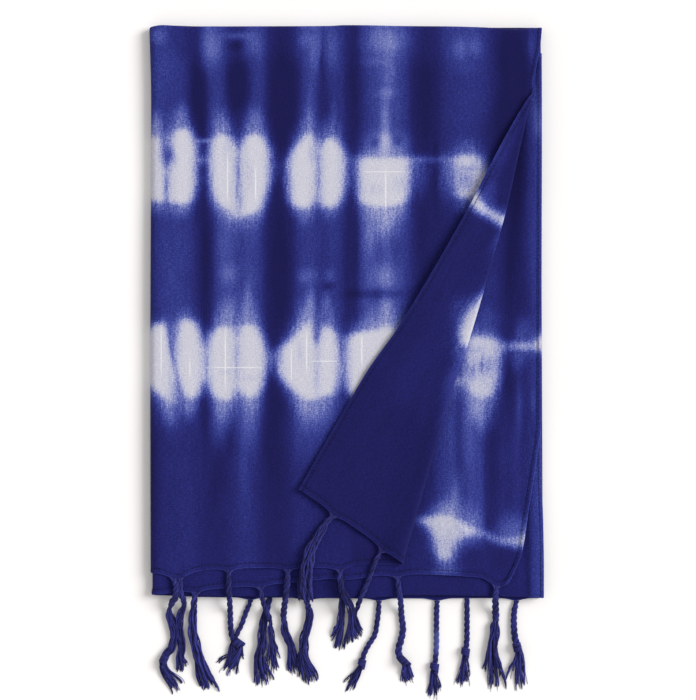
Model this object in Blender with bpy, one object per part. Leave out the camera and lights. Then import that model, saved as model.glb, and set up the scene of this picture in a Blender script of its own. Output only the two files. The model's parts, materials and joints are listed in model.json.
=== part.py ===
"""A hand-dyed stole, folded to eight layers, with one corner turned back and knotted tassels.

Places on the folded cloth are given as (across, down): metres to the right of the fold at
the left, and metres below the fold at the top. A negative across is the half underneath.
Layers are counted by depth from the top: 0 for the outer end panel, 1 for the inner end
panel, 2 and 3 for the panels between them. The half underneath has them the other way up.
"""

import math
from collections import namedtuple

import bmesh
import bpy
import numpy as np
from mathutils import Vector


def table(columns, rows):
    """A short table, each of whose rows has the named columns."""
    row_type = namedtuple("Row", columns)
    return [row_type(*row) for row in rows]


# The cloth and its stack of layers
THICKNESS = 0.0010
PITCH = 0.0017
DEEPEST = 3
MIDDLE = (DEEPEST + 0.5) * PITCH + THICKNESS / 2
INSET = 0.0016
OUTER_TURN = 1.5 * PITCH
INNER_TURN = 0.5 * PITCH

# The object's origin in the plan of the folded cloth
ORIGIN_ACROSS = 0.1753
ORIGIN_DOWN = 0.3002

# Outlines of the layers, each a curve through a few places
LEFT_FOLD = table("down across", ((0.000, -0.0008), (0.065, 0.0008), (0.300, 0.0000), (0.510, 0.0004)))
TOP_FOLD = table("across down", (
    (-0.350, 0.0000), (0.000, 0.0000), (0.090, -0.0008), (0.180, 0.0005), (0.270, -0.0004), (0.350, 0.0009),
))
INNER_FOLD = table("across down", ((-0.350, 0.0240), (0.350, 0.0240)))
BOTTOM_FOLD = table("across down", (
    (-0.350, 0.5080), (0.000, 0.5076), (0.100, 0.5088), (0.190, 0.5100),
    (0.235, 0.5074), (0.312, 0.5086), (0.352, 0.5100),
))
OUTER_HEM = table("across down", (
    (-0.350, 0.5035), (-0.108, 0.5028), (-0.060, 0.4970), (0.000, 0.4876), (0.024, 0.4896),
    (0.045, 0.4858), (0.060, 0.4840), (0.103, 0.4830), (0.170, 0.4830), (0.188, 0.4798),
    (0.222, 0.4800), (0.258, 0.4765), (0.340, 0.4705),
))
INNER_HEM = table("across down", (
    (-0.350, 0.5105), (-0.190, 0.5108), (-0.100, 0.5100), (-0.030, 0.5094), (0.000, 0.5073), (0.034, 0.5037),
    (0.078, 0.5002), (0.112, 0.4974), (0.150, 0.4938), (0.170, 0.4916), (0.182, 0.4930),
    (0.205, 0.4898), (0.240, 0.4888), (0.287, 0.4912), (0.306, 0.4950), (0.317, 0.4986), (0.326, 0.4930),
))
RIGHT_EDGES = (
    table("down across", (
        (0.000, 0.3500), (0.019, 0.3482), (0.037, 0.3444), (0.051, 0.3416), (0.068, 0.3445),
        (0.110, 0.3486), (0.165, 0.3508), (0.230, 0.3496), (0.350, 0.3470), (0.480, 0.3435),
    )),
    table("down across", (
        (0.000, 0.3498), (0.350, 0.3496), (0.385, 0.3455), (0.434, 0.3378), (0.470, 0.3320), (0.485, 0.3262),
        (0.500, 0.3190),
    )),
    table("down across", (
        (0.000, 0.3496), (0.360, 0.3494), (0.400, 0.3498), (0.440, 0.3512), (0.476, 0.3518), (0.510, 0.3518),
    )),
    table("down across", ((0.000, 0.3490), (0.510, 0.3510))),
)
UNDER_RIGHT_EDGE = 0.3490

# The corner that is turned back: a roll that starts at the right edge and leans to the left
ROLL_ACROSS = 0.3480
ROLL_DOWN = 0.0202
ROLL_LEAN = math.radians(15.4)
ROLL_LENGTH = 0.470
ROLL_RADIUS_TOP = 0.0013
ROLL_RADIUS_BOTTOM = 0.0037
ROLL_BOW = table("along bow", (
    (0.000, 0.0014), (0.045, 0.0025), (0.085, 0.0044), (0.155, 0.0072), (0.220, 0.0066),
    (0.270, 0.0054), (0.320, 0.0024), (0.390, 0.0012), (0.470, 0.0002),
))
FLAP_REST = 0.0022
FLAP_SETTLES = 0.028
FLAP_STARTS = 0.033
FLAP_SPREAD = 0.245
FLAP_LIFT = table("along lift", (
    (0.030, 0.0000), (0.062, 0.0035), (0.090, 0.0030), (0.115, 0.0006), (0.140, 0.0006),
    (0.175, 0.0032), (0.203, 0.0050), (0.245, 0.0024), (0.285, 0.0003), (0.350, 0.0003), (0.440, 0.0016),
))

# Soft unevenness: each row is a low swelling of a layer, on which the layers above it lie
SWELLS = table("depth across down half_width half_length height lean", (
    (0, 0.045, 0.430, 0.030, 0.090, 0.0010, 0.00),
    (0, 0.125, 0.440, 0.040, 0.100, 0.0008, 0.00),
    (0, 0.090, 0.140, 0.045, 0.150, 0.0009, 0.05),
    (0, 0.215, 0.090, 0.050, 0.120, 0.0010, -0.10),
    (0, 0.300, 0.050, 0.045, 0.070, 0.0006, 0.00),
    (0, 0.150, 0.280, 0.050, 0.120, 0.0007, 0.08),
    (1, 0.342, 0.130, 0.0105, 0.110, 0.0030, -0.07),
    (1, 0.300, 0.330, 0.026, 0.100, 0.0010, -0.05),
    (1, 0.285, 0.450, 0.024, 0.070, 0.0012, 0.04),
))
BAND_LEFT = 0.3372
BAND_WALL = 0.0022
BAND_HEIGHT = 0.0022
BAND_STARTS = 0.420
BAND_FULL = 0.470

# The grid that the cloth is built on
ARC_STEPS = 6
UNDER_COLUMNS = 5
PLAIN_COLUMNS = 8
EDGE_STEP = 0.0020
TOP_EDGE_STEP = 0.0010
ROLL_STEPS = 4
ROLL_MARGIN = 0.008
FLAP_SHARES = (0.12, 0.42, 0.72, 0.95, 1.0)
EDGE_COLUMNS = 1 + (ROLL_STEPS + 1) + len(FLAP_SHARES)
OUTER_PANEL_ROWS = (
    0.018, 0.030, 0.042, 0.054, 0.075, 0.100, 0.140, 0.180, 0.215, 0.250, 0.290, 0.330,
    0.365, 0.392, 0.410, 0.418, 0.4225, 0.4255, 0.4280, 0.4305, 0.4330, 0.438, 0.450, 0.462, 0.473,
)
INNER_PANEL_ROWS = (0.012, 0.020, 0.032, 0.050, 0.070, 0.095, 0.130, 0.200, 0.270, 0.330, 0.390, 0.440)
THIRD_PANEL_ROWS = (0.010, 0.028, 0.048, 0.075, 0.105, 0.160, 0.250, 0.350, 0.440)
DEEP_PANEL_ROWS = (0.10, 0.22, 0.35, 0.44)
PANEL_LENGTH = 0.484
DEEP_PANEL_LENGTH = 0.505
OUTER_TURN_STEPS = 6
INNER_TURN_STEPS = 4
LAST_LINE = 7.0

# The fringes: a strip of the hem at each end, and the tassels knotted into it
STRIP_WIDTH = 0.0050
GAP = 0.0003
CLEARANCE = 0.0006
TASSEL_WIDTH = 0.0046
TASSEL_HEIGHT = 0.0038
TASSEL_TOP_SHARE = 0.64
KNOT_WIDTH = 0.0068
KNOT_HEIGHT = 0.0056
KNOT_HALF = 0.0045
LOCK_NECK = 0.0022
LOCK_WIDTH = 0.0026
LOCK_TIP = 0.0011
LOCK_LENGTHS = (1.0, 0.92, 0.97)
FIRST_RING = 0.0030
SECOND_RING = 0.0075
RING_STEP = 0.011
RING_APART = 0.0028
COVER_END = 0.006
OVERHANG = 0.0016
FALL = 0.016
SHORT_FALL = 0.006
FALL_SHARES = (0.0, 0.3, 0.65, 1.0)
HEM_PULL = 0.0022
HEM_PULL_WIDTH = 0.0075

# Each tassel leaves its hem at a place across, and sways to either side as it runs down.
# Its sways are given at each sixth of its reach, and its knot as a share of its reach.
TASSELS = table("hem across reach sways knot fan fall over", (
    ("outer", 0.0215, 0.1020, (-0.0015, -0.0070, -0.0035, -0.0065, -0.0045, 0.0000), 0.76, 0.0050, FALL, 0),
    ("outer", 0.0268, 0.0830, (0.0015, 0.0025, 0.0015, 0.0025, 0.0015, 0.0020), 0.84, 0.0040, FALL, 0),
    ("outer", 0.0705, 0.0920, (-0.0010, -0.0005, 0.0010, 0.0010, -0.0005, -0.0055), 0.72, 0.0080, FALL, 0),
    ("outer", 0.1230, 0.0900, (-0.0005, -0.0030, -0.0045, 0.0025, 0.0035, 0.0035), 0.80, 0.0045, FALL, 0),
    ("outer", 0.1695, 0.0730, (0.0000, 0.0050, 0.0080, 0.0080, 0.0070, 0.0045), 0.74, 0.0035, FALL, 0.0042),
    ("outer", 0.2523, 0.0800, (-0.0050, -0.0110, -0.0160, -0.0190, -0.0180, -0.0155), 0.84, 0.0030, FALL, 0),
    ("outer", 0.3050, 0.0760, (-0.0100, -0.0175, -0.0220, -0.0230, -0.0230, -0.0235), 0.86, 0.0050, FALL, 0),
    ("outer", -0.1080, 0.0875, (-0.0015, -0.0070, -0.0090, -0.0120, -0.0125, -0.0085), 0.82, 0.0050, FALL, 0),
    ("outer", -0.2830, 0.0855, (0.0000, 0.0000, -0.0005, -0.0010, -0.0030, -0.0045), 0.80, 0.0040, FALL, 0),
    ("inner", 0.0410, 0.0895, (-0.0020, -0.0025, -0.0025, 0.0010, 0.0065, 0.0125), 0.78, 0.0080, FALL, 0),
    ("inner", 0.0980, 0.0775, (0.0020, 0.0065, 0.0090, 0.0125, 0.0135, 0.0145), 0.80, 0.0035, 0.042, 0),
    ("inner", 0.1705, 0.0600, (0.0000, 0.0000, -0.0010, -0.0035, -0.0060, -0.0065), 0.74, 0.0040, FALL, 0),
    ("inner", 0.2205, 0.0965, (0.0015, 0.0030, 0.0050, 0.0015, 0.0075, 0.0115), 0.74, 0.0060, FALL, 0),
    ("inner", 0.3100, 0.0955, (-0.0020, -0.0020, -0.0035, -0.0040, -0.0030, -0.0020), 0.70, 0.0090, FALL, 0),
    ("inner", -0.0895, 0.0705, (-0.0030, -0.0065, -0.0075, -0.0070, -0.0080, -0.0090), 0.64, 0.0045, FALL, 0),
    ("inner", -0.1400, 0.0795, (0.0010, 0.0000, -0.0030, -0.0035, 0.0000, 0.0020), 0.80, 0.0080, FALL, 0),
    ("inner", -0.2045, 0.0850, (0.0000, -0.0025, -0.0080, -0.0145, -0.0205, -0.0305), 0.70, 0.0050, FALL, 0),
    ("inner", -0.2565, 0.0890, (0.0000, 0.0000, 0.0000, -0.0010, -0.0035, -0.0055), 0.80, 0.0050, FALL, 0),
    ("inner", -0.3275, 0.0820, (-0.0020, -0.0015, 0.0000, 0.0005, 0.0000, -0.0010), 0.64, 0.0085, FALL, 0),
))

# Colours of the dyed cloth and yarn, linear
CLOTH_BLUE = (0.032, 0.036, 0.290, 1.0)
YARN_BLUE = (0.024, 0.028, 0.240, 1.0)
SMOOTH_BELOW = math.radians(50)


def smooth(x):
    """0 below 0, 1 above 1, and a soft step between them."""
    x = np.clip(x, 0.0, 1.0)
    return x * x * (3 - 2 * x)


def curve_at(rows, along):
    """Reads a table of two columns by a curve that passes through each row."""
    x, y = np.array(rows).T
    steep = np.diff(y) / np.diff(x)
    before, after = steep[:-1], steep[1:]
    level = before * after <= 0
    inner = np.where(level, 0.0, 2 * before * after / np.where(level, 1.0, before + after))
    slopes = np.concatenate(([steep[0]], inner, [steep[-1]]))
    along = np.clip(along, x[0], x[-1])
    i = np.clip(np.searchsorted(x, along, side="right") - 1, 0, len(x) - 2)
    h = x[i + 1] - x[i]
    t = (along - x[i]) / h
    rise = t * t * (3 - 2 * t)
    bend = h * slopes[i] * t * (1 - t) ** 2 - h * slopes[i + 1] * t * t * (1 - t)
    return y[i] * (1 - rise) + y[i + 1] * rise + bend


def hem_at(hem, across):
    """How far down a hem lies. Each tassel draws it down a little."""
    down = curve_at(OUTER_HEM if hem == "outer" else INNER_HEM, across)
    for tassel in TASSELS:
        if tassel.hem == hem:
            down = down + HEM_PULL * np.exp(-(((across - tassel.across) / HEM_PULL_WIDTH) ** 2))
    return down


def right_edge(depth, down, upper):
    """The flat right edge of a layer; between two layers it passes from one to the other."""
    edge = 0.0
    for level, rows in enumerate(RIGHT_EDGES):
        edge = edge + np.clip(1 - np.abs(depth - level), 0, 1) * curve_at(rows, down)
    return np.where(upper, edge, UNDER_RIGHT_EDGE)


def swelling(depth, across, down):
    """How far a layer of the upper half stands above the flat stack."""
    height = 0.0
    for swell in SWELLS:
        side = (across - swell.across - swell.lean * (down - swell.down)) / swell.half_width
        along = (down - swell.down) / swell.half_length
        share = np.clip(1 - 0.5 * (depth - swell.depth), 0, 1)
        height = height + share * swell.height * np.exp(-(side**2) - along**2)
    band = smooth((across - BAND_LEFT) / BAND_WALL) * smooth((down - BAND_STARTS) / (BAND_FULL - BAND_STARTS))
    return height + smooth(DEEPEST - depth) * smooth(depth) * BAND_HEIGHT * band


def roll_radius(along):
    share = np.clip(along / ROLL_LENGTH, 0, 1)
    return ROLL_RADIUS_TOP + (ROLL_RADIUS_BOTTOM - ROLL_RADIUS_TOP) * share


def rolled(across, down):
    """Takes a place on the flat top layer round the roll: its new place and its height."""
    sin, cos = math.sin(ROLL_LEAN), math.cos(ROLL_LEAN)
    right, below = across - ROLL_ACROSS, down - ROLL_DOWN
    along = below * cos - right * sin
    bow = curve_at(ROLL_BOW, along)
    out = right * cos + below * sin - bow
    radius = roll_radius(along)
    angle = np.clip(out / radius, 0, math.pi)
    beyond = np.maximum(out - math.pi * radius, 0)
    turned = bow + np.minimum(out, 0) + radius * np.sin(angle) - beyond
    flap_width = np.maximum(FLAP_SPREAD * (along - FLAP_STARTS), TOP_EDGE_STEP)
    lifted = FLAP_REST + curve_at(FLAP_LIFT, along) * smooth(beyond / flap_width)
    settled = smooth(beyond / FLAP_SETTLES)
    flap_height = lifted * settled + 2 * radius * (1 - settled)
    height = np.where(beyond > 0, flap_height, radius * (1 - np.cos(angle)))
    return ROLL_ACROSS - along * sin + turned * cos, ROLL_DOWN + along * cos + turned * sin, height


def section(v, across):
    """The depth and the place down of a line v along the cloth, from the outer hem.

    v counts the panels: 0 to 1 is the outer end panel, 1 to 2 the turn at the top, 2 to 3 the
    deepest panel, 3 to 4 the turn at the bottom, 4 to 5 the third panel, 5 to 6 the inner turn
    at the top, and 6 to 7 the inner end panel.
    """
    stage = np.clip(np.floor(v), 0, 6).astype(int)
    share = v - stage
    outer, inner = hem_at("outer", across), hem_at("inner", across)
    top = curve_at(TOP_FOLD, across) + OUTER_TURN
    bottom = curve_at(BOTTOM_FOLD, across) - INNER_TURN
    inside = curve_at(INNER_FOLD, across) + INNER_TURN
    half_turn = (1 - np.cos(math.pi * share)) / 2
    bulge = np.sin(math.pi * share)
    depths = (0.0, 3 * half_turn, 3.0, 3 - half_turn, 2.0, 2 - half_turn, 1.0)
    downs = (
        outer + (top - outer) * share,
        top - OUTER_TURN * bulge,
        top + (bottom - top) * share,
        bottom + INNER_TURN * bulge,
        bottom + (inside - bottom) * share,
        inside - INNER_TURN * bulge,
        inside + (inner - inside) * share,
    )
    return np.choose(stage, depths), np.choose(stage, downs)


def flat_line(v, across):
    """A line where it passes a place across: its depth, its place down, and its flat part's two ends."""
    depth, down = section(v, across)
    start = curve_at(LEFT_FOLD, down) + INSET * depth + (DEEPEST + 0.5 - depth) * PITCH
    return depth, down, start, right_edge(depth, down, across > 0)


def place(u, v):
    """Points of the cloth's middle surface, as rows of across, down and height above the floor.

    u runs from -2 at the right hem of the half underneath, round the fold at the left from
    -1 to 1, to 2 at the right hem of the upper half. v is as in section.
    """
    u, v = np.broadcast_arrays(np.asarray(u, float), np.asarray(v, float))
    upper = u > 0
    share = np.clip(np.abs(u) - 1, 0, 1)
    side = np.sign(u) * share
    _, _, start, right = flat_line(v, side * UNDER_RIGHT_EDGE)
    depth, down, start, right = flat_line(v, np.clip(u, -1, 1) * start + side * (right - start))
    radius = (DEEPEST + 0.5 - depth) * PITCH
    turn = np.clip(u, -1, 1) * math.pi / 2
    across = start - radius * np.cos(turn) + (right - start) * share
    height = MIDDLE + radius * np.sin(turn)
    turned_across, turned_down, rise = rolled(across, down)
    turns_back = upper & (v < 1)
    across = np.where(turns_back, turned_across, across)
    down = np.where(turns_back, turned_down, down)
    height = height + np.where(turns_back, rise, 0.0)
    height = height + np.clip(np.sin(turn), 0, 1) * swelling(depth, across, down)
    return np.stack((across, down, height), axis=-1)


def facing(u, v):
    """The direction square to the cloth at each point."""
    step = 1e-4
    u, v = np.broadcast_arrays(np.asarray(u, float), np.asarray(v, float))
    across = place(np.minimum(u + step, 2.0), v) - place(np.maximum(u - step, -2.0), v)
    along = place(u, np.minimum(v + step, LAST_LINE)) - place(u, np.maximum(v - step, 0.0))
    square = np.cross(across, along)
    return square / np.linalg.norm(square, axis=-1, keepdims=True)


def plain_columns(edge_step):
    """The grid's places along u on a line where the cloth lies flat."""
    under = [-2 + i / UNDER_COLUMNS for i in range(UNDER_COLUMNS)]
    arc = [-1 + 2 * i / ARC_STEPS for i in range(ARC_STEPS + 1)]
    edge_share = EDGE_COLUMNS * edge_step / UNDER_RIGHT_EDGE
    plain = [1 + (1 - edge_share) * (i + 1) / PLAIN_COLUMNS for i in range(PLAIN_COLUMNS)]
    edge = [2 - edge_share * (1 - (i + 1) / EDGE_COLUMNS) for i in range(EDGE_COLUMNS)]
    return under + arc + plain + edge


def rolled_columns(v):
    """The grid's places along u on a line of the outer panel, close together round the roll."""
    _, down, left, right = (float(value) for value in flat_line(v, UNDER_RIGHT_EDGE))
    cos = math.cos(ROLL_LEAN)
    along = (down - ROLL_DOWN) / cos
    radius = float(roll_radius(along))
    start = ROLL_ACROSS - along * math.sin(ROLL_LEAN) + float(curve_at(ROLL_BOW, along)) / cos
    arc = math.pi * radius / cos
    wide = max(right - start - arc, 0.0)
    places = [start - ROLL_MARGIN]
    places += [start + arc * i / ROLL_STEPS for i in range(ROLL_STEPS + 1)]
    places += [start + arc + wide * share for share in FLAP_SHARES]
    last = len(places) - 1
    for i, wanted in enumerate(places):
        places[i] = min(wanted, right - (last - i) * TOP_EDGE_STEP)
    first = (places[0] - left) / (right - left)
    columns = plain_columns(TOP_EDGE_STEP)[: UNDER_COLUMNS + ARC_STEPS + 1]
    columns += [1 + first * (i + 1) / (PLAIN_COLUMNS + 1) for i in range(PLAIN_COLUMNS)]
    return columns + [1 + (across - left) / (right - left) for across in places]


def grid_lines():
    """Every line of the cloth's grid as (v, its places along u).

    The first and the last line run along the strips, and share their places along u.
    """
    strip = (STRIP_WIDTH + GAP) / PANEL_LENGTH
    plain, plain_top = plain_columns(EDGE_STEP), plain_columns(TOP_EDGE_STEP)
    lines = [(strip, strip_columns("outer", 0.0)[0])]
    lines += [(down / PANEL_LENGTH, rolled_columns(down / PANEL_LENGTH)) for down in OUTER_PANEL_ROWS]
    lines += [(1 + i / OUTER_TURN_STEPS, plain_top) for i in range(OUTER_TURN_STEPS + 1)]
    lines += [(2 + down / DEEP_PANEL_LENGTH, plain) for down in DEEP_PANEL_ROWS]
    lines += [(3 + i / INNER_TURN_STEPS, plain) for i in range(INNER_TURN_STEPS + 1)]
    lines += [(4 + down / PANEL_LENGTH, plain) for down in THIRD_PANEL_ROWS]
    lines += [(5 + i / INNER_TURN_STEPS, plain) for i in range(INNER_TURN_STEPS + 1)]
    lines += [(LAST_LINE - down / PANEL_LENGTH, plain) for down in reversed(INNER_PANEL_ROWS)]
    lines.append((LAST_LINE - strip, strip_columns("inner", LAST_LINE)[0]))
    return lines


def in_frame(point):
    """A point of the plan as a point of the object's own frame."""
    return Vector((point[0] - ORIGIN_ACROSS, ORIGIN_DOWN - point[1], point[2]))


def cloth_faces(mesh, lines):
    """Both faces of the cloth over a grid, as two lists of rows of vertices."""
    faces = []
    for side in (THICKNESS / 2, -THICKNESS / 2):
        rows = []
        for v, columns in lines:
            points = place(columns, v) + facing(columns, v) * side
            rows.append([mesh.verts.new(in_frame(point)) for point in points])
        faces.append(rows)
        for j in range(len(lines) - 1):
            join_lines(mesh, rows[j], lines[j][1], rows[j + 1], lines[j + 1][1])
    return faces


def join_lines(mesh, first, first_us, second, second_us):
    """Faces between two neighbouring lines, which may have different places along u."""
    if len(first) == len(second):
        for i in range(len(first) - 1):
            mesh.faces.new((first[i], first[i + 1], second[i + 1], second[i]))
        return
    i, j = 0, 0
    while i < len(first) - 1 or j < len(second) - 1:
        step_first = j == len(second) - 1 or (i < len(first) - 1 and first_us[i + 1] < second_us[j + 1])
        if step_first:
            mesh.faces.new((first[i], first[i + 1], second[j]))
            i += 1
        else:
            mesh.faces.new((first[i], second[j + 1], second[j]))
            j += 1


def close_edges(mesh, front, back, open_at=()):
    """The walls round a cloth's edge, apart from those of the first line named in open_at."""
    for line, left_open in ((0, open_at), (-1, ())):
        for i in range(len(front[line]) - 1):
            if i not in left_open:
                mesh.faces.new((front[line][i], front[line][i + 1], back[line][i + 1], back[line][i]))
    for j in range(len(front) - 1):
        for end in (0, -1):
            mesh.faces.new((front[j][end], front[j + 1][end], back[j + 1][end], back[j][end]))


def material(name, colour, roughness):
    made = bpy.data.materials.new(name)
    made.use_nodes = True
    shader = made.node_tree.nodes["Principled BSDF"]
    shader.inputs["Base Color"].default_value = colour
    shader.inputs["Roughness"].default_value = roughness
    shader.inputs["Metallic"].default_value = 0.0
    return made


def finished(mesh, name, look):
    """The mesh as an object of the scene, with its faces pointing out."""
    bmesh.ops.recalc_face_normals(mesh, faces=mesh.faces)
    bmesh.ops.triangulate(mesh, faces=mesh.faces)
    data = bpy.data.meshes.new(name)
    mesh.to_mesh(data)
    mesh.free()
    data.materials.append(look)
    data.shade_smooth()
    data.set_sharp_from_angle(angle=SMOOTH_BELOW)
    made = bpy.data.objects.new(name, data)
    bpy.context.scene.collection.objects.link(made)
    return made


def make_stole(look):
    mesh = bmesh.new()
    front, back = cloth_faces(mesh, grid_lines())
    close_edges(mesh, front, back)
    return finished(mesh, "stole", look)


def u_at(across, v):
    """The place along u of a point of a hem, from its place across the flat layer."""
    _, _, left, right = (float(value) for value in flat_line(v, across))
    return math.copysign(1 + (abs(across) - left) / (right - left), across)


def strip_columns(hem, v):
    """The strip's places along u, two of them at each tassel, and which tassel grows where."""
    columns = rolled_columns(v) if hem == "outer" else plain_columns(EDGE_STEP)
    near = TASSEL_WIDTH / 2 / UNDER_RIGHT_EDGE
    roots = []
    for tassel in TASSELS:
        if tassel.hem == hem:
            sides = (u_at(tassel.across - TASSEL_WIDTH / 2, v), u_at(tassel.across + TASSEL_WIDTH / 2, v))
            roots.append((min(sides), max(sides), tassel))
    kept = [columns[0], columns[-1]]
    for u in columns[1:-1]:
        if all(u < low - near or u > high + near for low, high, _ in roots):
            kept.append(u)
    for low, high, _ in roots:
        kept += [low, high]
    kept = sorted(kept)
    return kept, {kept.index(low): tassel for low, high, tassel in roots}


def bed_height(depth, across, down, over):
    """The height of a tassel's underside above the floor, where it lies on a layer."""
    flat = MIDDLE + (DEEPEST + 0.5 - depth) * PITCH
    return flat + float(swelling(depth, across, down)) + THICKNESS / 2 + CLEARANCE + over


def beds(tassel, root):
    """The edges that a tassel passes over on its way down: (where, the layer above, the run down)."""
    if tassel.across < 0:
        return []
    passed = []
    outer, inner = float(hem_at("outer", root[0])), float(hem_at("inner", root[0]))
    starts_on_flap = tassel.hem == "outer" and root[1] < outer - 2 * STRIP_WIDTH
    if starts_on_flap:
        passed.append((outer, 0, SHORT_FALL))
    if tassel.hem == "outer":
        passed.append((inner, 1, SHORT_FALL))
    passed.append((float(curve_at(BOTTOM_FOLD, root[0])), 2, tassel.fall))
    return passed


def underside(passed, across, down, over):
    """The height of a tassel's underside above the floor."""
    height = 0.0
    for edge, depth, run in reversed(passed):
        left = float(smooth((down - edge - OVERHANG) / run))
        height = height * left + bed_height(depth, across, down, over) * (1 - left)
    return height


def tassel_rings(root, tassel):
    """A tassel's cross-sections from its root down: (place, direction, width, height, underside)."""
    path = [(i / len(tassel.sways), sway) for i, sway in enumerate((0.0, *tassel.sways))]
    passed = beds(tassel, root)
    knot_down = tassel.knot * tassel.reach
    knot_top = knot_down - KNOT_HALF
    downs = {knot_top, knot_down, knot_down + KNOT_HALF}
    marks = [FIRST_RING, SECOND_RING]
    cover = 0.0
    if tassel.hem == "outer" and tassel.across < 0:
        cover = float(hem_at("inner", tassel.across)) + CLEARANCE
        marks += [cover - root[1], cover - root[1] + COVER_END]
    for edge, _, run in passed:
        marks += [edge - root[1] + OVERHANG + run * share for share in FALL_SHARES]
    steps = int(knot_top / RING_STEP)
    marks += [knot_top * i / steps for i in range(1, steps)]
    for mark in sorted(marks):
        if FIRST_RING <= mark < knot_top - RING_APART and all(abs(mark - d) > RING_APART for d in downs):
            downs.add(mark)
    rings = []
    for down in sorted(downs):
        here, ahead, behind = (
            root[0] + float(curve_at(path, (down + step) / tassel.reach)) for step in (0, FIRST_RING, -FIRST_RING)
        )
        way = Vector((ahead - behind, 2 * FIRST_RING)).normalized()
        width, height = (KNOT_WIDTH, KNOT_HEIGHT) if down == knot_down else (TASSEL_WIDTH, TASSEL_HEIGHT)
        if cover:
            height = THICKNESS + (height - THICKNESS) * float(smooth((root[1] + down - cover) / COVER_END))
        low = underside(passed, here, root[1] + down, tassel.over)
        rings.append((Vector((here, root[1] + down)), way, width, height, low))
    return rings


def ring_corners(ring):
    """The four corners of a cross-section: lower left, lower right, upper right, upper left."""
    centre, way, width, height, low = ring
    side = Vector((way.y, -way.x)) * (width / 2)
    corners = []
    for across, up in ((-1, 0), (1, 0), (TASSEL_TOP_SHARE, 1), (-TASSEL_TOP_SHARE, 1)):
        point = centre + side * across
        corners.append((point.x, point.y, low + up * height))
    return corners


def grow(mesh, current, corners):
    """Four walls from one cross-section to the next, whose vertices it gives."""
    made = [mesh.verts.new(in_frame(corner)) for corner in corners]
    for i in range(4):
        j = (i + 1) % 4
        mesh.faces.new((current[i], current[j], made[j], made[i]))
    return made


def add_tassel(mesh, quad, root, tassel):
    """Grows a tassel out of four vertices of a strip's edge, with a knot and three locks."""
    rings = tassel_rings(root, tassel)
    current = quad
    for ring in rings:
        current = grow(mesh, current, ring_corners(ring))
    add_locks(mesh, current, rings[-1], root, tassel)


def add_locks(mesh, current, ring, root, tassel):
    """The loose yarn below a knot, as three locks that fan out."""
    passed = beds(tassel, root)
    centre, way = ring[0], ring[1]
    side = Vector((way.y, -way.x))
    base = centre + way * LOCK_NECK
    low = underside(passed, base.x, base.y, tassel.over)
    lower, upper = [], []
    for i in range(4):
        point = base + side * (LOCK_WIDTH * (i - 1.5))
        lower.append(mesh.verts.new(in_frame((point.x, point.y, low))))
        upper.append(mesh.verts.new(in_frame((point.x, point.y, low + TASSEL_HEIGHT))))
    a, b, c, d = current
    mesh.faces.new((a, b, lower[3], lower[2]))
    mesh.faces.new((a, lower[2], lower[1], lower[0]))
    mesh.faces.new((d, c, upper[3], upper[2]))
    mesh.faces.new((d, upper[2], upper[1], upper[0]))
    mesh.faces.new((a, d, upper[0], lower[0]))
    mesh.faces.new((b, c, upper[3], lower[3]))
    tail = tassel.reach - (base.y - root[1])
    drift = root[0] + tassel.sways[-1] - base.x
    for lock, length in enumerate(LOCK_LENGTHS):
        current = (lower[lock], lower[lock + 1], upper[lock + 1], upper[lock])
        for share in (0.5, 1.0):
            down = base.y + tail * share * length
            spread = tassel.fan * share + LOCK_WIDTH * (1 - share)
            middle = base.x + drift * share + spread * (lock - 1)
            half = (LOCK_WIDTH * (1 - share) + LOCK_TIP * share) / 2
            height = TASSEL_HEIGHT * (1 - share) + LOCK_TIP * share
            low = underside(passed, middle, down, tassel.over)
            corners = [(middle - half, down, low), (middle + half, down, low)]
            corners += [(middle + half, down, low + height), (middle - half, down, low + height)]
            current = grow(mesh, current, corners)
        mesh.faces.new(current)


def make_fringe(hem, name, look):
    """A strip of the hem with its tassels, as one solid."""
    v_edge, inwards = (0.0, 1) if hem == "outer" else (LAST_LINE, -1)
    columns, roots = strip_columns(hem, v_edge)
    mesh = bmesh.new()
    front, back = cloth_faces(mesh, [(v_edge, columns), (v_edge + inwards * STRIP_WIDTH / PANEL_LENGTH, columns)])
    close_edges(mesh, front, back, open_at=roots)
    for index, tassel in roots.items():
        root = place(columns[index : index + 2], v_edge).mean(axis=0)
        corners = [front[0][index], front[0][index + 1], back[0][index], back[0][index + 1]]
        corners.sort(key=lambda vertex: vertex.co.z)
        low = sorted(corners[:2], key=lambda vertex: vertex.co.x)
        high = sorted(corners[2:], key=lambda vertex: vertex.co.x)
        add_tassel(mesh, (low[0], low[1], high[1], high[0]), root, tassel)
    return finished(mesh, name, look)


def main():
    for old in list(bpy.data.objects):
        bpy.data.objects.remove(old)
    cloth = material("dyed_cloth", CLOTH_BLUE, 0.85)
    yarn = material("fringe_yarn", YARN_BLUE, 0.8)
    make_stole(cloth)
    make_fringe("outer", "fringe_outer", yarn)
    make_fringe("inner", "fringe_inner", yarn)


main()
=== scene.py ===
"""The looks of a hand-dyed stole that lies folded, with one corner turned back.

Places on the folded cloth are given as (across, down): metres to the right of the fold at
the left, and metres below the fold at the top. A negative across is the half underneath.
Layers are counted by depth from the top: 0 for the outer end panel, 1 for the inner end
panel, 2 and 3 for the panels between them. The half underneath has them the other way up.
The marks of the dye, the creases and the routes of the tassels are read from the
photograph, so their tables hold its pixels: x to the right, y down.
"""

import json
import math
from collections import namedtuple

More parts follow.
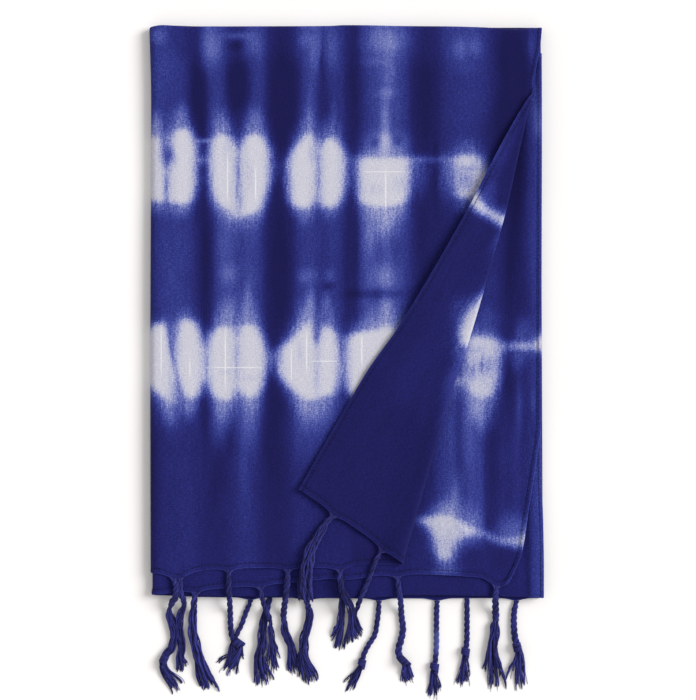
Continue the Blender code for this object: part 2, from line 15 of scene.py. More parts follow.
import bpy
import numpy as np
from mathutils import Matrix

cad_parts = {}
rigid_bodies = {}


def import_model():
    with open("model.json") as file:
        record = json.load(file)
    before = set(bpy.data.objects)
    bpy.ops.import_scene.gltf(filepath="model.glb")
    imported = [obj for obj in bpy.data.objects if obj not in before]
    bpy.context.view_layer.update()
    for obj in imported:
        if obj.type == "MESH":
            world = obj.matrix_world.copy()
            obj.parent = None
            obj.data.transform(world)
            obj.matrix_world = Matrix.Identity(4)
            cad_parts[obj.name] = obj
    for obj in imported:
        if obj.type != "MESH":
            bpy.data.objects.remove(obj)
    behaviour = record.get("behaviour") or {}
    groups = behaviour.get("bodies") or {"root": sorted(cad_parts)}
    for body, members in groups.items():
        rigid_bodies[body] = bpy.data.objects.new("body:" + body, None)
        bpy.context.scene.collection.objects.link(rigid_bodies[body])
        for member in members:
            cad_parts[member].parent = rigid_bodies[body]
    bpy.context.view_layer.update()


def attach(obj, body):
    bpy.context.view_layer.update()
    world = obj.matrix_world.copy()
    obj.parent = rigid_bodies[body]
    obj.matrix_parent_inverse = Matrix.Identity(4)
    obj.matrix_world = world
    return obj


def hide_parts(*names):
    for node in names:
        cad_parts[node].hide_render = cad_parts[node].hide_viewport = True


def table(columns, rows):
    """A short table, each of whose rows has the named columns."""
    row_type = namedtuple("Row", columns)
    return [row_type(*row) for row in rows]


# The photograph: the place of the folded cloth in it, and its scale on the cloth
PIXEL = 0.000893
LEFT_PIXEL = 150.0
TOP_PIXEL = 27.0
PHOTO_WIDTH = 696
PHOTO_HEIGHT = 700

# The cloth and its stack of layers, as in the solids
THICKNESS = 0.0010
PITCH = 0.0017
DEEPEST = 3
MIDDLE = (DEEPEST + 0.5) * PITCH + THICKNESS / 2
INSET = 0.0016
OUTER_TURN = 1.5 * PITCH
INNER_TURN = 0.5 * PITCH
ORIGIN_ACROSS = 0.1753
ORIGIN_DOWN = 0.3002

# Outlines of the layers, each a curve through a few places
LEFT_FOLD = table("down across", ((0.000, -0.0008), (0.065, 0.0008), (0.300, 0.0000), (0.510, 0.0004)))
TOP_FOLD = table("across down", (
    (-0.350, 0.0000), (-0.010, 0.0000), (0.002, -0.0006), (0.010, -0.0018), (0.022, -0.0013),
    (0.045, -0.0006), (0.130, -0.0008), (0.160, -0.0010), (0.174, -0.0017), (0.192, -0.0016),
    (0.225, -0.0009), (0.268, -0.0006), (0.295, 0.0002), (0.312, 0.0011), (0.328, 0.0019),
    (0.339, 0.0012), (0.350, 0.0005),
))
INNER_FOLD = table("across down", ((-0.350, 0.0240), (0.350, 0.0240)))
BOTTOM_FOLD = table("across down", (
    (-0.350, 0.5080), (0.000, 0.5076), (0.100, 0.5088), (0.190, 0.5100), (0.235, 0.5074),
    (0.312, 0.5086), (0.352, 0.5100),
))
OUTER_HEM = table("across down", (
    (-0.350, 0.5035), (-0.108, 0.5028), (-0.060, 0.4970), (0.000, 0.4876), (0.024, 0.4896),
    (0.045, 0.4858), (0.060, 0.4840), (0.103, 0.4830), (0.170, 0.4830), (0.188, 0.4798),
    (0.222, 0.4800), (0.258, 0.4765), (0.340, 0.4705),
))
INNER_HEM = table("across down", (
    (-0.350, 0.5105), (-0.190, 0.5108), (-0.100, 0.5100), (-0.030, 0.5094), (0.000, 0.5073),
    (0.034, 0.5037), (0.078, 0.5002), (0.112, 0.4974), (0.150, 0.4938), (0.170, 0.4916),
    (0.182, 0.4930), (0.205, 0.4898), (0.240, 0.4888), (0.287, 0.4912), (0.306, 0.4950),
    (0.317, 0.4986), (0.326, 0.4930),
))
RIGHT_EDGES = (
    table("down across", (
        (0.000, 0.3500), (0.019, 0.3482), (0.037, 0.3444), (0.051, 0.3416), (0.068, 0.3445),
        (0.110, 0.3486), (0.165, 0.3508), (0.230, 0.3496), (0.350, 0.3470), (0.480, 0.3435),
    )),
    table("down across", (
        (0.000, 0.3498), (0.350, 0.3496), (0.385, 0.3455), (0.434, 0.3378), (0.470, 0.3320), (0.485, 0.3262),
        (0.500, 0.3190),
    )),
    table("down across", (
        (0.000, 0.3496), (0.360, 0.3494), (0.400, 0.3498), (0.440, 0.3512), (0.476, 0.3518), (0.510, 0.3518),
    )),
    table("down across", ((0.000, 0.3490), (0.510, 0.3510))),
)
UNDER_RIGHT_EDGE = 0.3490

# The corner that is turned back: a roll that starts at the right edge and leans to the left
ROLL_ACROSS = 0.3480
ROLL_DOWN = 0.0202
ROLL_LEAN = math.radians(15.4)
ROLL_LENGTH = 0.470
ROLL_RADIUS_TOP = 0.0013
ROLL_RADIUS_BOTTOM = 0.0037
ROLL_BOW = table("along bow", (
    (0.000, 0.0014), (0.045, 0.0025), (0.085, 0.0044), (0.155, 0.0072), (0.220, 0.0066),
    (0.270, 0.0054), (0.320, 0.0024), (0.390, 0.0012), (0.470, 0.0002),
))
FLAP_REST = 0.0022
FLAP_SETTLES = 0.028
FLAP_STARTS = 0.033
FLAP_SPREAD = 0.245
FLAP_LIFT = table("along lift", (
    (0.030, 0.0000), (0.062, 0.0045), (0.090, 0.0056), (0.115, 0.0048), (0.140, 0.0042),
    (0.175, 0.0046), (0.203, 0.0060), (0.245, 0.0046), (0.285, 0.0010), (0.350, 0.0005),
    (0.440, 0.0022),
))

# Soft unevenness: each row is a low swelling of a layer, on which the layers above it lie
SWELLS = table("depth across down half_width half_length height lean", (
    (0, 0.045, 0.430, 0.030, 0.090, 0.0010, 0.00), (0, 0.125, 0.440, 0.040, 0.100, 0.0008, 0.00),
    (0, 0.090, 0.140, 0.045, 0.150, 0.0009, 0.05), (0, 0.215, 0.090, 0.050, 0.120, 0.0010, -0.10),
    (0, 0.300, 0.050, 0.045, 0.070, 0.0006, 0.00), (0, 0.150, 0.280, 0.050, 0.120, 0.0007, 0.08),
    (1, 0.342, 0.130, 0.0105, 0.110, 0.0030, -0.07), (1, 0.300, 0.330, 0.026, 0.100, 0.0010, -0.05),
    (1, 0.285, 0.450, 0.024, 0.070, 0.0012, 0.04),
))
BAND_LEFT = 0.3372
BAND_WALL = 0.0022
BAND_HEIGHT = 0.0022
BAND_STARTS = 0.420
BAND_FULL = 0.470

# Creases: troughs (below 0) and ridges (above 0) along a line in the photograph, with half
# of their width, on the top layer, on the part turned back, or on the inner panel
CREASES = table("part x y end_x end_y half_width height", (
    ("top", 240, 448, 249, 512, 5.0, 0.00045), ("top", 205, 415, 212, 520, 9.0, -0.00050),
    ("top", 283, 400, 278, 520, 10.0, -0.00045), ("top", 172, 60, 180, 120, 12.0, 0.00035),
    ("top", 322, 44, 321, 84, 4.0, -0.00030), ("top", 430, 60, 416, 250, 12.0, -0.00060),
    ("top", 500, 60, 462, 150, 10.0, -0.00080), ("top", 352, 40, 348, 150, 8.0, -0.00035),
    ("flap", 470, 240, 436, 330, 5.0, -0.00060), ("flap", 452, 300, 396, 470, 9.0, 0.00080),
    ("flap", 436, 380, 402, 520, 7.0, -0.00060), ("flap", 408, 400, 340, 500, 8.0, 0.00050),
    ("flap", 488, 180, 470, 240, 5.0, 0.00060), ("inner", 517, 110, 505, 310, 8.0, -0.00150),
    ("inner", 536, 90, 537, 210, 4.0, 0.00060), ("inner", 542, 30, 534, 88, 2.4, -0.00120),
    ("inner", 488, 400, 485, 520, 6.0, -0.00060), ("inner", 505, 410, 512, 520, 7.0, 0.00060),
    ("inner", 528, 380, 519, 470, 4.0, -0.00050), ("inner", 470, 420, 460, 560, 9.0, 0.00050),
    ("band", 534, 470, 536, 590, 5.0, 0.00080), ("band", 526, 505, 521, 594, 2.6, -0.00120),
))
CREASE_FADE = 0.25

# Fine unevenness that only the looks have: waves of each hem, which fade away from it,
# and shallow waves all over a layer
HEM_WAVES = table("length height turn", (
    (0.031, 0.00026, 0.4), (0.0187, 0.00018, 2.1), (0.0113, 0.00012, 4.0), (0.0071, 0.00008, 1.2),
))
HEM_WAVES_REACH = 0.010
HEM_WAVES_SHIFT = 2.1
LAYER_WAVES = table("length height turn slope", (
    (0.083, 0.00024, 0.8, 0.10), (0.047, 0.00016, 2.9, -0.07), (0.021, 0.00007, 5.1, 0.04),
))
DEPTH_SHIFT = 1.7
UNDER_SHIFT = 2.3
SWELLING_TURN = 0.31
SWELLING_LENGTH = 0.23

# The grid that the cloth is built on, as numbers of columns and of rows
UNDER_COLUMNS = 9
ROOT_COLUMNS = (-0.0120, -0.0068, -0.0034, 0.0, 0.0034, 0.0068, 0.0120)
ARC_COLUMNS = 10
PLAIN_COLUMNS = 112
MARGIN_COLUMNS = 3
ROLL_COLUMNS = 11
FLAP_COLUMNS = 26
ROLL_MARGIN = 0.006
SQUEEZED_STEP = 0.00025
RIGHT_ZONE = 0.075
RIGHT_ZONE_COLUMNS = MARGIN_COLUMNS + ROLL_COLUMNS + FLAP_COLUMNS
TURN_ROWS = 10
INNER_TURN_ROWS = 5
DEEP_ROWS = 8
THIRD_ROWS = 14
OUTER_ZONES = table("y rows", ((27, 34), (130, 46), (222, 26), (316, 44), (408, 22), (500, 20)))
INNER_ZONES = table("y rows", ((54, 30), (322, 38), (404, 24), (508, 30), (570, 6)))
PANEL_LENGTH = 0.484
LAST_LINE = 7.0
STEP = 0.0001

# The hems, turned towards the reverse of the cloth and stitched down
HEM_RADIUS = 0.00032
HEM_ARC_STEPS = 4
SIDE_HEM = 0.0040
END_HEM = 0.0056
HEM_TURNED = table("share lift", ((1.00, 0.0000), (0.80, -0.00022), (0.62, 0.00008), (0.30, 0.00014)))
HEM_FACE = table("share lift", (
    (0.30, -0.00012), (0.60, -0.00008), (0.80, 0.00016), (0.98, 0.00000), (1.25, 0.00006),
    (1.60, 0.00000),
))
STITCH_INWARD = 0.8
STITCH_LENGTH = 0.0024
STITCH_PITCH = 0.0034
STITCH_RADIUS = 0.00015
STITCH_SIDES = 5
STITCH_BENDS = table("along sink", ((0.0, 0.9), (0.2, -0.3), (0.8, -0.3), (1.0, 0.9)))
STITCHES_START = 0.008
STITCHES_START_ACROSS = 0.015
SIDE_SAMPLES = 260
END_SAMPLES = 400
FAR_FROM_HEM = 0.05

# The tassels that show, as in the solids: each leaves its hem at a place across, passes over
# the edges below it in a fall, and may lie a little higher, over another tassel
HEM_PULL = 0.0022
HEM_PULL_WIDTH = 0.0075
FALL = 0.016
SHORT_FALL = 0.006
OVERHANG = 0.0016
STRIP_WIDTH = 0.0050
SECOND_BRANCH = 0.0268
TASSELS = table("name hem across fall over", (
    ("a1", "outer", 0.0215, FALL, 0), ("a1_right", "outer", SECOND_BRANCH, FALL, 0),
    ("a2", "outer", 0.0705, FALL, 0), ("a3", "outer", 0.1230, FALL, 0),
    ("a4", "outer", 0.1695, FALL, 0.0036), ("f2", "outer", 0.2523, FALL, 0),
    ("f1", "outer", 0.3050, FALL, 0), ("p2", "outer", -0.1080, FALL, 0),
    ("p7", "outer", -0.2830, FALL, 0), ("b1", "inner", 0.0410, FALL, 0),
    ("b2", "inner", 0.0980, 0.042, 0), ("e", "inner", 0.1705, FALL, 0),
    ("b3", "inner", 0.2205, FALL, 0), ("b4", "inner", 0.3100, FALL, 0),
    ("d1", "inner", -0.0895, FALL, 0), ("d3", "inner", -0.1400, FALL, 0),
    ("d4", "inner", -0.2045, FALL, 0), ("d5", "inner", -0.2565, FALL, 0),
    ("d6", "inner", -0.3275, FALL, 0),
))

# How each tassel looks: its route in the photograph down to its knot or to where it opens
# out, the width of its yarn there and at its end in pixels, the share of the route where the
# twist opens, the width of its knot, and the places of the tips of its loose ends
LOOKS = table("name route width end_width opens knot tips", (
    ("a1", ((177, 574), (177, 586), (176, 596), (171, 604), (169, 613), (171, 624), (173.5, 634), (173, 642),
            (171, 649), (166, 655), (163, 661)),
     7.0, 6.5, 0.30, 8.5, ((173, 694), (178, 691), (182.5, 686), (169, 680))),
    ("a1_right", ((180, 574), (180, 586), (181, 594), (184, 601), (182.5, 610), (179, 619), (179.5, 634),
                  (181.5, 648), (180.5, 655)),
     6.0, 6.5, 0.30, 0, ((177, 671), (182, 672), (187, 665))),
    ("a2", ((228.6, 570), (228.6, 586), (229.6, 600), (230, 618), (230.6, 630), (233, 640), (238, 644)),
     5.6, 6.0, 2.0, 9.0, ((217.5, 663), (221, 674), (227, 677), (233, 671), (238, 676), (243, 657))),
    ("a3", ((288, 571), (287.4, 583), (285.6, 598), (283.8, 610), (283.4, 622), (284.6, 632), (288.5, 641)),
     6.0, 7.0, 0.62, 0, ((288.5, 672), (292, 675), (296.5, 672), (298, 664))),
    ("a4", ((340, 570), (340.5, 580), (341.5, 588), (346, 597), (350.5, 605), (352, 613)),
     5.6, 7.0, 0.35, 0, ((343, 650), (350, 645), (357, 639), (362, 632))),
    ("f2", ((381.8, 551), (375.5, 561), (371.5, 572), (366.8, 584), (361, 597), (357, 608), (353.5, 617)),
     4.6, 5.6, 0.80, 0, ((350, 643), (356, 640), (361, 635))),
    ("f1", ((332.8, 517), (326, 523), (319.6, 533), (314, 544), (309, 555), (306.6, 567), (305.6, 578)),
     5.6, 11.5, 0.02, 0, ((299.5, 601), (304.5, 604.5), (309, 604), (313, 602))),
    ("p2", ((270.6, 598), (267.6, 607), (264.6, 617), (262.8, 630), (262, 642), (259.6, 653)),
     6.4, 8.0, 0.15, 0, ((255.6, 688), (261, 686), (265.5, 687), (271, 681), (254.5, 676))),
    ("p7", ((467.4, 597), (467.3, 612), (467.2, 628), (467, 642), (465.6, 653)),
     5.4, 5.8, 2.0, 9.0, ((456.5, 685), (461, 687), (466, 684.5), (470, 678))),
    ("b1", ((196.6, 594), (194.4, 602), (192.6, 613), (192.8, 626), (193.6, 640), (196.6, 652), (199.5, 662)),
     6.4, 9.0, 0.10, 0, ((199, 688), (204, 692), (209.5, 690), (214, 686), (219, 691))),
    ("b2", ((259.4, 588), (262, 598), (265, 608), (269.4, 618), (270.4, 630), (271.4, 641)),
     5.2, 5.2, 0.60, 0, ((264, 667), (273.5, 675), (277, 671), (280, 658))),
    ("e", ((340, 580), (341, 590), (341.8, 600), (342, 613), (340.6, 624)),
     5.0, 6.5, 0.30, 0, ((331, 640), (334, 650), (339, 652), (333, 631))),
    ("b3", ((396.6, 576), (398.6, 588), (400.6, 602), (401.6, 617), (403, 630), (401, 641), (398.6, 650),
            (399.5, 657), (404, 662)),
     5.4, 7.4, 2.0, 8.0, ((401.5, 682), (407, 684), (411, 683), (414.5, 680))),
    ("b4", ((497.4, 585), (495.4, 596), (495.6, 608), (496, 620), (494.6, 633), (493, 644)),
     6.2, 8.6, 0.52, 0, ((485.5, 672), (488.6, 693), (493.5, 688), (500, 692), (506.5, 691), (503, 676))),
    ("d1", ((249, 599), (247.6, 607), (244.6, 616), (241.4, 625), (237, 634), (234, 641)),
     5.4, 5.0, 2.0, 0, ((226, 668), (231, 674), (236, 664))),
    ("d3", ((307.4, 599.5), (308.6, 609), (309.2, 618), (307.4, 629), (304.2, 640), (302.8, 652)),
     6.4, 8.0, 0.10, 0, ((299, 678), (304, 684), (309.5, 686.5), (314, 684), (318.5, 681))),
    ("d4", ((379.4, 600), (378.6, 611), (377, 624), (374.6, 636), (368.4, 646), (363.6, 656), (361.8, 664)),
     5.4, 5.4, 2.0, 8.4, ((343, 684), (346, 692), (351, 692), (356, 684))),
    ("d5", ((437, 599), (436.8, 612), (436.6, 628), (436.6, 646), (435.6, 660), (434.6, 668)),
     5.6, 5.6, 2.0, 9.4, ((426.5, 697), (431, 699), (436, 698), (440, 690))),
    ("d6", ((515.6, 600), (514.6, 611), (514.2, 626), (515.4, 639), (517.8, 649)),
     5.6, 7.4, 2.0, 9.0, ((507.5, 684), (510, 672), (515.5, 691), (520, 690), (525, 687), (524, 674))),
))
TAPER = 0.4
ROUND_A_YARN = 0.9
FULLNESS = 1.14
PLIES = 3
PLY_YARNS = 5
TWIST_PITCH = 0.0165
FIRST_SEED = 100
PLY_SHARE = 0.20
YARN_SHARE = 0.155
YARN_THICKNESS_SHARE = 0.112
YARN_STEP = 0.0012
YARN_TWIST = 0.6
WOBBLE = 0.30
WOBBLE_LENGTH = 0.013
YARN_SIDES = 5
BODY_FLATNESS = 0.80
LOOSENS_OVER = 0.22
LOOSE_WIDTH = 0.42
LOOSE_HEIGHT = 0.34
LOOSE_EDGE = 0.7
LOOSE_STEP = 2.4
SWAYS = table("share length step", ((0.09, 0.0075, 1.9), (0.06, 0.0031, 2.7)))
ANY_TURN = 6
THIN_YARNS = 10
THIN_RADIUS = 0.00027
THIN_SIDES = 4
BED_GAP = 0.0003
ROOT_BACK = 0.0015
ROOT_SPLAY = 0.0042
UNDER_ROOT_SPLAY = 0.0024
ROOT_LENGTH = 0.0060
ROOT_RISES = 0.4
ROOT_WAY = 0.01
ROOT_JOINS = 0.012
SQUEEZED_ROOT = 0.22
TAIL_STEPS = 15
TUFT_SWELLS = 0.22
TUFT_TAPER = 0.30
TUFT_SINKS = 1.1
TUFT_PILE = 0.0016
LOCK_EDGE = 1.6
TIP_SCATTER = 0.0012
BEND_SCATTER = 0.0009
TAIL_SHORTER = 0.16
TAIL_STARTS = 0.36
TAIL_ENDS = 0.34
TAIL_SPREAD = 0.18
TAIL_FOLLOWS = 0.35
TAIL_CURL = (0.0002, 0.0006)
TAIL_CURLS = (4, 11)
KNOT_FULLNESS = 1.02
WRAP_YARNS = 5
WRAP_STEPS = 34
WRAP_TURNS = 1.35
WRAP_START = -0.25
WRAP_RADIUS = 1.15
WRAP_CLEARANCE = 1.2
WRAP_PITCH = 1.55
WRAP_DRIFT = 5.0
WRAP_SLANT = 0.34
WRAP_RISE = 0.3

# The marks of the dye on the outer panel, laid flat: where each mark starts and ends down
# the cloth, how white it is, and how far its pale edge reaches above and below it
MARK_COLUMNS = "x top bottom white above below halo"
FIRST_ROW = table(MARK_COLUMNS, (
    (150, 137, 200, 0.92, 26, 18, 0.45), (157, 133, 204, 0.98, 30, 18, 0.50),
    (163, 140, 203, 0.92, 28, 18, 0.42), (167, 150, 203, 0.75, 30, 18, 0.35),
    (171, 138, 204, 0.85, 30, 18, 0.40), (175, 129, 205, 1.00, 26, 20, 0.50),
    (182, 126, 206, 1.00, 26, 20, 0.55), (189, 128, 205, 1.00, 20, 20, 0.45),
    (194, 137, 197, 0.90, 16, 16, 0.28), (197, 142, 186, 0.55, 10, 12, 0.20),
    (200, 148, 170, 0.16, 6, 10, 0.10), (206, 150, 170, 0.08, 6, 10, 0.06),
    (210, 146, 180, 0.55, 20, 14, 0.20), (213, 138, 196, 0.98, 28, 18, 0.45),
    (220, 132, 207, 1.00, 32, 22, 0.50), (228, 134, 213, 1.00, 30, 24, 0.50),
    (234, 140, 221, 0.92, 20, 20, 0.30), (237, 148, 222, 0.66, 14, 18, 0.20),
    (239, 150, 220, 0.58, 12, 18, 0.20), (241, 144, 220, 0.86, 22, 20, 0.30),
    (247, 134, 217, 1.00, 34, 22, 0.45), (256, 132, 215, 1.00, 34, 22, 0.50),
    (263, 136, 206, 0.98, 28, 20, 0.45), (268, 144, 190, 0.82, 20, 14, 0.32),
    (272, 150, 180, 0.36, 10, 12, 0.18), (276, 160, 170, 0.04, 8, 10, 0.05),
    (284, 160, 180, 0.08, 8, 10, 0.08), (288, 158, 196, 0.55, 14, 16, 0.25),
    (293, 148, 206, 0.96, 22, 18, 0.38), (301, 139, 211, 1.00, 30, 22, 0.45),
    (309, 130, 210, 1.00, 34, 20, 0.50), (314, 136, 204, 0.90, 30, 18, 0.40),
    (317, 146, 196, 0.62, 20, 14, 0.28), (320, 146, 204, 0.72, 20, 16, 0.28),
    (325, 138, 209, 0.98, 28, 18, 0.40), (331, 135, 210, 1.00, 30, 18, 0.48),
    (338, 141, 205, 0.98, 24, 16, 0.36), (344, 150, 194, 0.74, 14, 14, 0.24),
    (348, 156, 182, 0.28, 8, 10, 0.12), (353, 156, 162, 0.12, 6, 8, 0.08),
    (358, 157, 200, 0.60, 12, 14, 0.25), (361, 156, 204, 0.96, 14, 26, 0.42),
    (370, 156, 208, 0.98, 14, 34, 0.50), (385, 156, 210, 1.00, 14, 44, 0.62),
    (400, 156, 206, 0.98, 14, 36, 0.48), (407, 156, 200, 0.90, 12, 26, 0.40),
    (411, 157, 180, 0.42, 10, 30, 0.30), (416, 156, 163, 0.36, 8, 34, 0.26),
    (425, 157, 163, 0.30, 8, 34, 0.22), (433, 158, 162, 0.12, 6, 12, 0.06),
    (442, 156, 162, 0.34, 10, 36, 0.20), (452, 158, 164, 0.44, 16, 36, 0.26),
    (457, 154, 199, 0.84, 22, 20, 0.36), (465, 153, 200, 0.88, 24, 20, 0.36),
    (476, 154, 198, 0.80, 22, 20, 0.32), (488, 172, 208, 0.74, 20, 14, 0.28),
    (500, 213, 226, 0.85, 12, 9, 0.30), (506, 216, 227, 0.98, 12, 7, 0.35),
    (515, 218.5, 226.5, 0.92, 14, 7, 0.32), (524, 218, 226, 0.92, 16, 7, 0.32),
    (533, 217, 228, 1.00, 16, 7, 0.34), (541, 211, 224, 1.00, 14, 7, 0.30),
    (550, 207, 221, 0.90, 12, 7, 0.30),
))
SECOND_ROW = table(MARK_COLUMNS, (
    (150, 330, 385, 0.92, 12, 14, 0.28), (155, 324, 392, 0.98, 12, 18, 0.32),
    (162, 322, 398, 1.00, 12, 22, 0.36), (168, 324, 403, 0.98, 12, 26, 0.36),
    (171, 340, 406, 0.78, 12, 28, 0.32), (173, 348, 407, 0.78, 20, 30, 0.32),
    (175, 352, 406, 0.70, 26, 28, 0.28), (177, 330, 380, 0.76, 16, 28, 0.32),
    (180, 320, 388, 0.98, 16, 28, 0.40), (187, 318, 399, 1.00, 18, 30, 0.45),
    (193, 319, 401, 1.00, 16, 30, 0.40), (198, 326, 397, 0.96, 12, 24, 0.28),
    (202, 336, 388, 0.86, 10, 16, 0.20), (205, 346, 380, 0.64, 8, 14, 0.18),
    (207, 350, 378, 0.54, 8, 14, 0.18), (209, 338, 388, 0.84, 12, 18, 0.24),
    (213, 330, 396, 0.98, 24, 24, 0.36), (221, 325, 402, 1.00, 34, 32, 0.45),
    (231, 324, 402, 0.98, 40, 32, 0.48), (235, 334, 392, 0.80, 26, 20, 0.32),
    (237, 336, 388, 0.72, 24, 18, 0.28), (240, 325, 392, 0.90, 38, 24, 0.40),
    (248, 322, 400, 1.00, 42, 32, 0.48), (256, 325, 398, 0.98, 32, 28, 0.40),
    (262, 335, 388, 0.94, 18, 20, 0.28), (266, 346, 374, 0.72, 10, 14, 0.18),
    (270, 352, 364, 0.20, 8, 12, 0.10), (274, 354, 370, 0.12, 8, 10, 0.06),
    (277, 352, 374, 0.42, 10, 14, 0.18), (280, 347, 378, 0.84, 14, 18, 0.28),
    (287, 341, 386, 0.96, 22, 22, 0.36), (296, 332, 395, 1.00, 36, 32, 0.45),
    (303, 324, 401, 1.00, 40, 36, 0.50), (309, 318, 402, 1.00, 42, 36, 0.55),
    (314, 328, 402, 0.94, 32, 34, 0.42), (318, 342, 401, 0.84, 24, 32, 0.32),
    (321, 330, 400, 0.94, 38, 32, 0.42), (325, 323, 398, 1.00, 40, 32, 0.50),
    (332, 328, 396, 0.98, 36, 28, 0.42), (337, 333, 388, 0.88, 20, 22, 0.28),
    (341, 348, 372, 0.38, 12, 16, 0.20), (344, 350, 372, 0.28, 12, 16, 0.16),
    (347, 336, 390, 0.82, 16, 20, 0.28), (352, 333, 396, 0.98, 20, 26, 0.36),
    (362, 330, 400, 1.00, 22, 28, 0.40), (378, 328, 400, 1.00, 34, 28, 0.50),
    (386, 322, 396, 1.00, 36, 28, 0.52), (396, 330, 390, 0.92, 28, 24, 0.40),
    (420, 330, 386, 0.50, 16, 20, 0.28), (448, 320, 342, 0.80, 26, 26, 0.36),
    (462, 300, 347, 0.95, 26, 26, 0.36), (472, 290, 352, 0.98, 22, 24, 0.36),
    (480, 286, 347, 0.98, 20, 24, 0.36), (486, 294, 339, 0.92, 18, 20, 0.32),
    (489, 308, 330, 0.60, 18, 22, 0.30), (493, 314, 322, 0.18, 18, 28, 0.24),
    (500, 314, 320, 0.00, 18, 28, 0.12), (520, 314, 320, 0.00, 10, 10, 0.00),
    (550, 314, 320, 0.00, 10, 10, 0.00),
))

# The marks on the inner panel
THIRD_ROW = table(MARK_COLUMNS, (
    (150, 322, 400, 1.00, 30, 30, 0.50), (170, 330, 395, 0.90, 30, 30, 0.50),
    (200, 322, 400, 1.00, 30, 30, 0.50), (230, 350, 370, 0.20, 10, 20, 0.20),
    (260, 324, 398, 1.00, 30, 30, 0.50), (300, 320, 400, 1.00, 30, 30, 0.50),
    (330, 350, 370, 0.20, 10, 20, 0.20), (360, 326, 396, 1.00, 30, 30, 0.50),
    (430, 350, 390, 0.30, 20, 30, 0.30), (452, 374, 388, 0.45, 16, 20, 0.25),
    (459, 376, 387, 0.55, 20, 16, 0.25), (463, 374, 385, 0.38, 20, 30, 0.24),
    (466, 338, 388, 0.66, 14, 34, 0.36), (470, 334, 394, 0.84, 16, 38, 0.40),
    (476, 334, 399, 0.88, 16, 44, 0.46), (481, 335, 401, 0.86, 16, 46, 0.48),
    (487, 336, 400, 0.86, 16, 44, 0.48), (494, 336, 394, 0.84, 16, 38, 0.38),
    (498, 339, 384, 0.70, 14, 26, 0.28), (501, 342, 360, 0.58, 10, 18, 0.22),
    (505, 344, 350, 0.46, 9, 12, 0.18), (509, 344, 349, 0.52, 8, 12, 0.16),
    (514, 342, 350, 0.78, 12, 20, 0.24), (522, 342.5, 350, 0.84, 22, 20, 0.28),
    (532, 343, 349.5, 0.80, 14, 14, 0.24), (537, 341, 350, 0.84, 14, 12, 0.26),
    (540, 335, 351, 0.90, 14, 12, 0.30), (550, 333, 352, 0.90, 14, 12, 0.30),
))
FOURTH_ROW = table(MARK_COLUMNS, (
    (150, 517, 542, 0.90, 40, 6, 0.30), (200, 517, 546, 1.00, 40, 6, 0.30),
    (250, 525, 540, 0.60, 40, 6, 0.30), (300, 517, 546, 1.00, 40, 6, 0.30),
    (360, 520, 540, 0.80, 40, 6, 0.30), (400, 520, 524, 0.10, 10, 10, 0.10),
    (416, 518, 521, 0.10, 8, 8, 0.10), (421, 517, 523, 0.62, 10, 12, 0.24),
    (429, 516, 529, 0.86, 14, 26, 0.30), (433, 515, 538, 0.88, 16, 34, 0.36),
    (437, 514, 552, 0.86, 20, 26, 0.40), (440, 513, 560, 0.88, 24, 22, 0.44),
    (446, 513, 563, 0.92, 28, 20, 0.46), (450, 514, 560, 0.88, 34, 24, 0.44),
    (453, 515, 550, 0.84, 38, 32, 0.42), (457, 517, 542, 0.84, 34, 36, 0.38),
    (464, 521, 538, 0.90, 30, 20, 0.34), (471, 525, 536, 0.84, 32, 16, 0.33),
    (478, 529, 535, 0.74, 34, 10, 0.28), (483, 532, 536, 0.60, 12, 8, 0.16),
    (487, 534, 538, 0.56, 9, 8, 0.14), (493, 535.5, 540, 0.70, 14, 8, 0.20),
    (502, 537, 543, 0.72, 24, 8, 0.30), (511, 537, 545, 0.70, 26, 8, 0.32),
    (519, 534, 547, 0.72, 22, 8, 0.34), (530, 531, 547, 0.64, 20, 8, 0.32),
    (550, 531, 547, 0.60, 20, 8, 0.30),
))
MARK_EDGE = 14.0
MARK_BLUR = table("aside share", (
    (-7.0, 0.08), (-4.4, 0.13), (-2.1, 0.18), (0.0, 0.22), (2.1, 0.18), (4.4, 0.13), (7.0, 0.08),
))

# Places where dye got into the marks: centre, half of each size, and how much of the white it took
STAINS = table("x y half_width half_height lean change", (
    (167.5, 155, 7.0, 12, 0.10, -0.80), (166.5, 186, 2.8, 22, 0.00, -0.50),
    (163, 142, 3, 8, 0.2, -0.25), (203.5, 151, 3.2, 6, 0, -0.60), (204, 171, 4.0, 6, 0, -0.60),
    (238.4, 180, 2.4, 34, 0.02, -0.30), (318, 176, 2.8, 32, 0, -0.28), (465, 181, 9, 12, 0, -0.34),
    (470, 168, 12, 3, 0, -0.20), (313, 155, 5, 9, 0, -0.18), (226, 150, 3, 14, 0, -0.12),
    (250, 176, 3, 16, 0.1, -0.12), (171.6, 344, 2.8, 34, 0.15, -0.62),
    (180, 388, 3, 14, 0.2, -0.34), (206, 362, 1.8, 20, 0, -0.20), (236.4, 356, 2.2, 28, 0, -0.26),
    (316.5, 334, 3.0, 12, 0, -0.62), (317, 372, 2.4, 24, 0, -0.20), (300, 352, 3, 14, 0.1, -0.14),
    (250, 378, 8, 3, 0, -0.12), (226, 372, 6, 3, 0, -0.12), (342, 356, 2.0, 20, 0, -0.30),
    (482, 367, 2.0, 9, 0, -0.30), (486, 366, 13, 10, 0, -0.30), (472, 372, 5, 9, 0, -0.30),
    (476, 350, 10, 4, 0, -0.12), (446, 545, 6, 16, 0, -0.12), (461, 531, 4, 5, 0.4, -0.14),
    (375, 190, 9, 6, 0, -0.10), (398, 184, 8, 8, 0, -0.12),
))

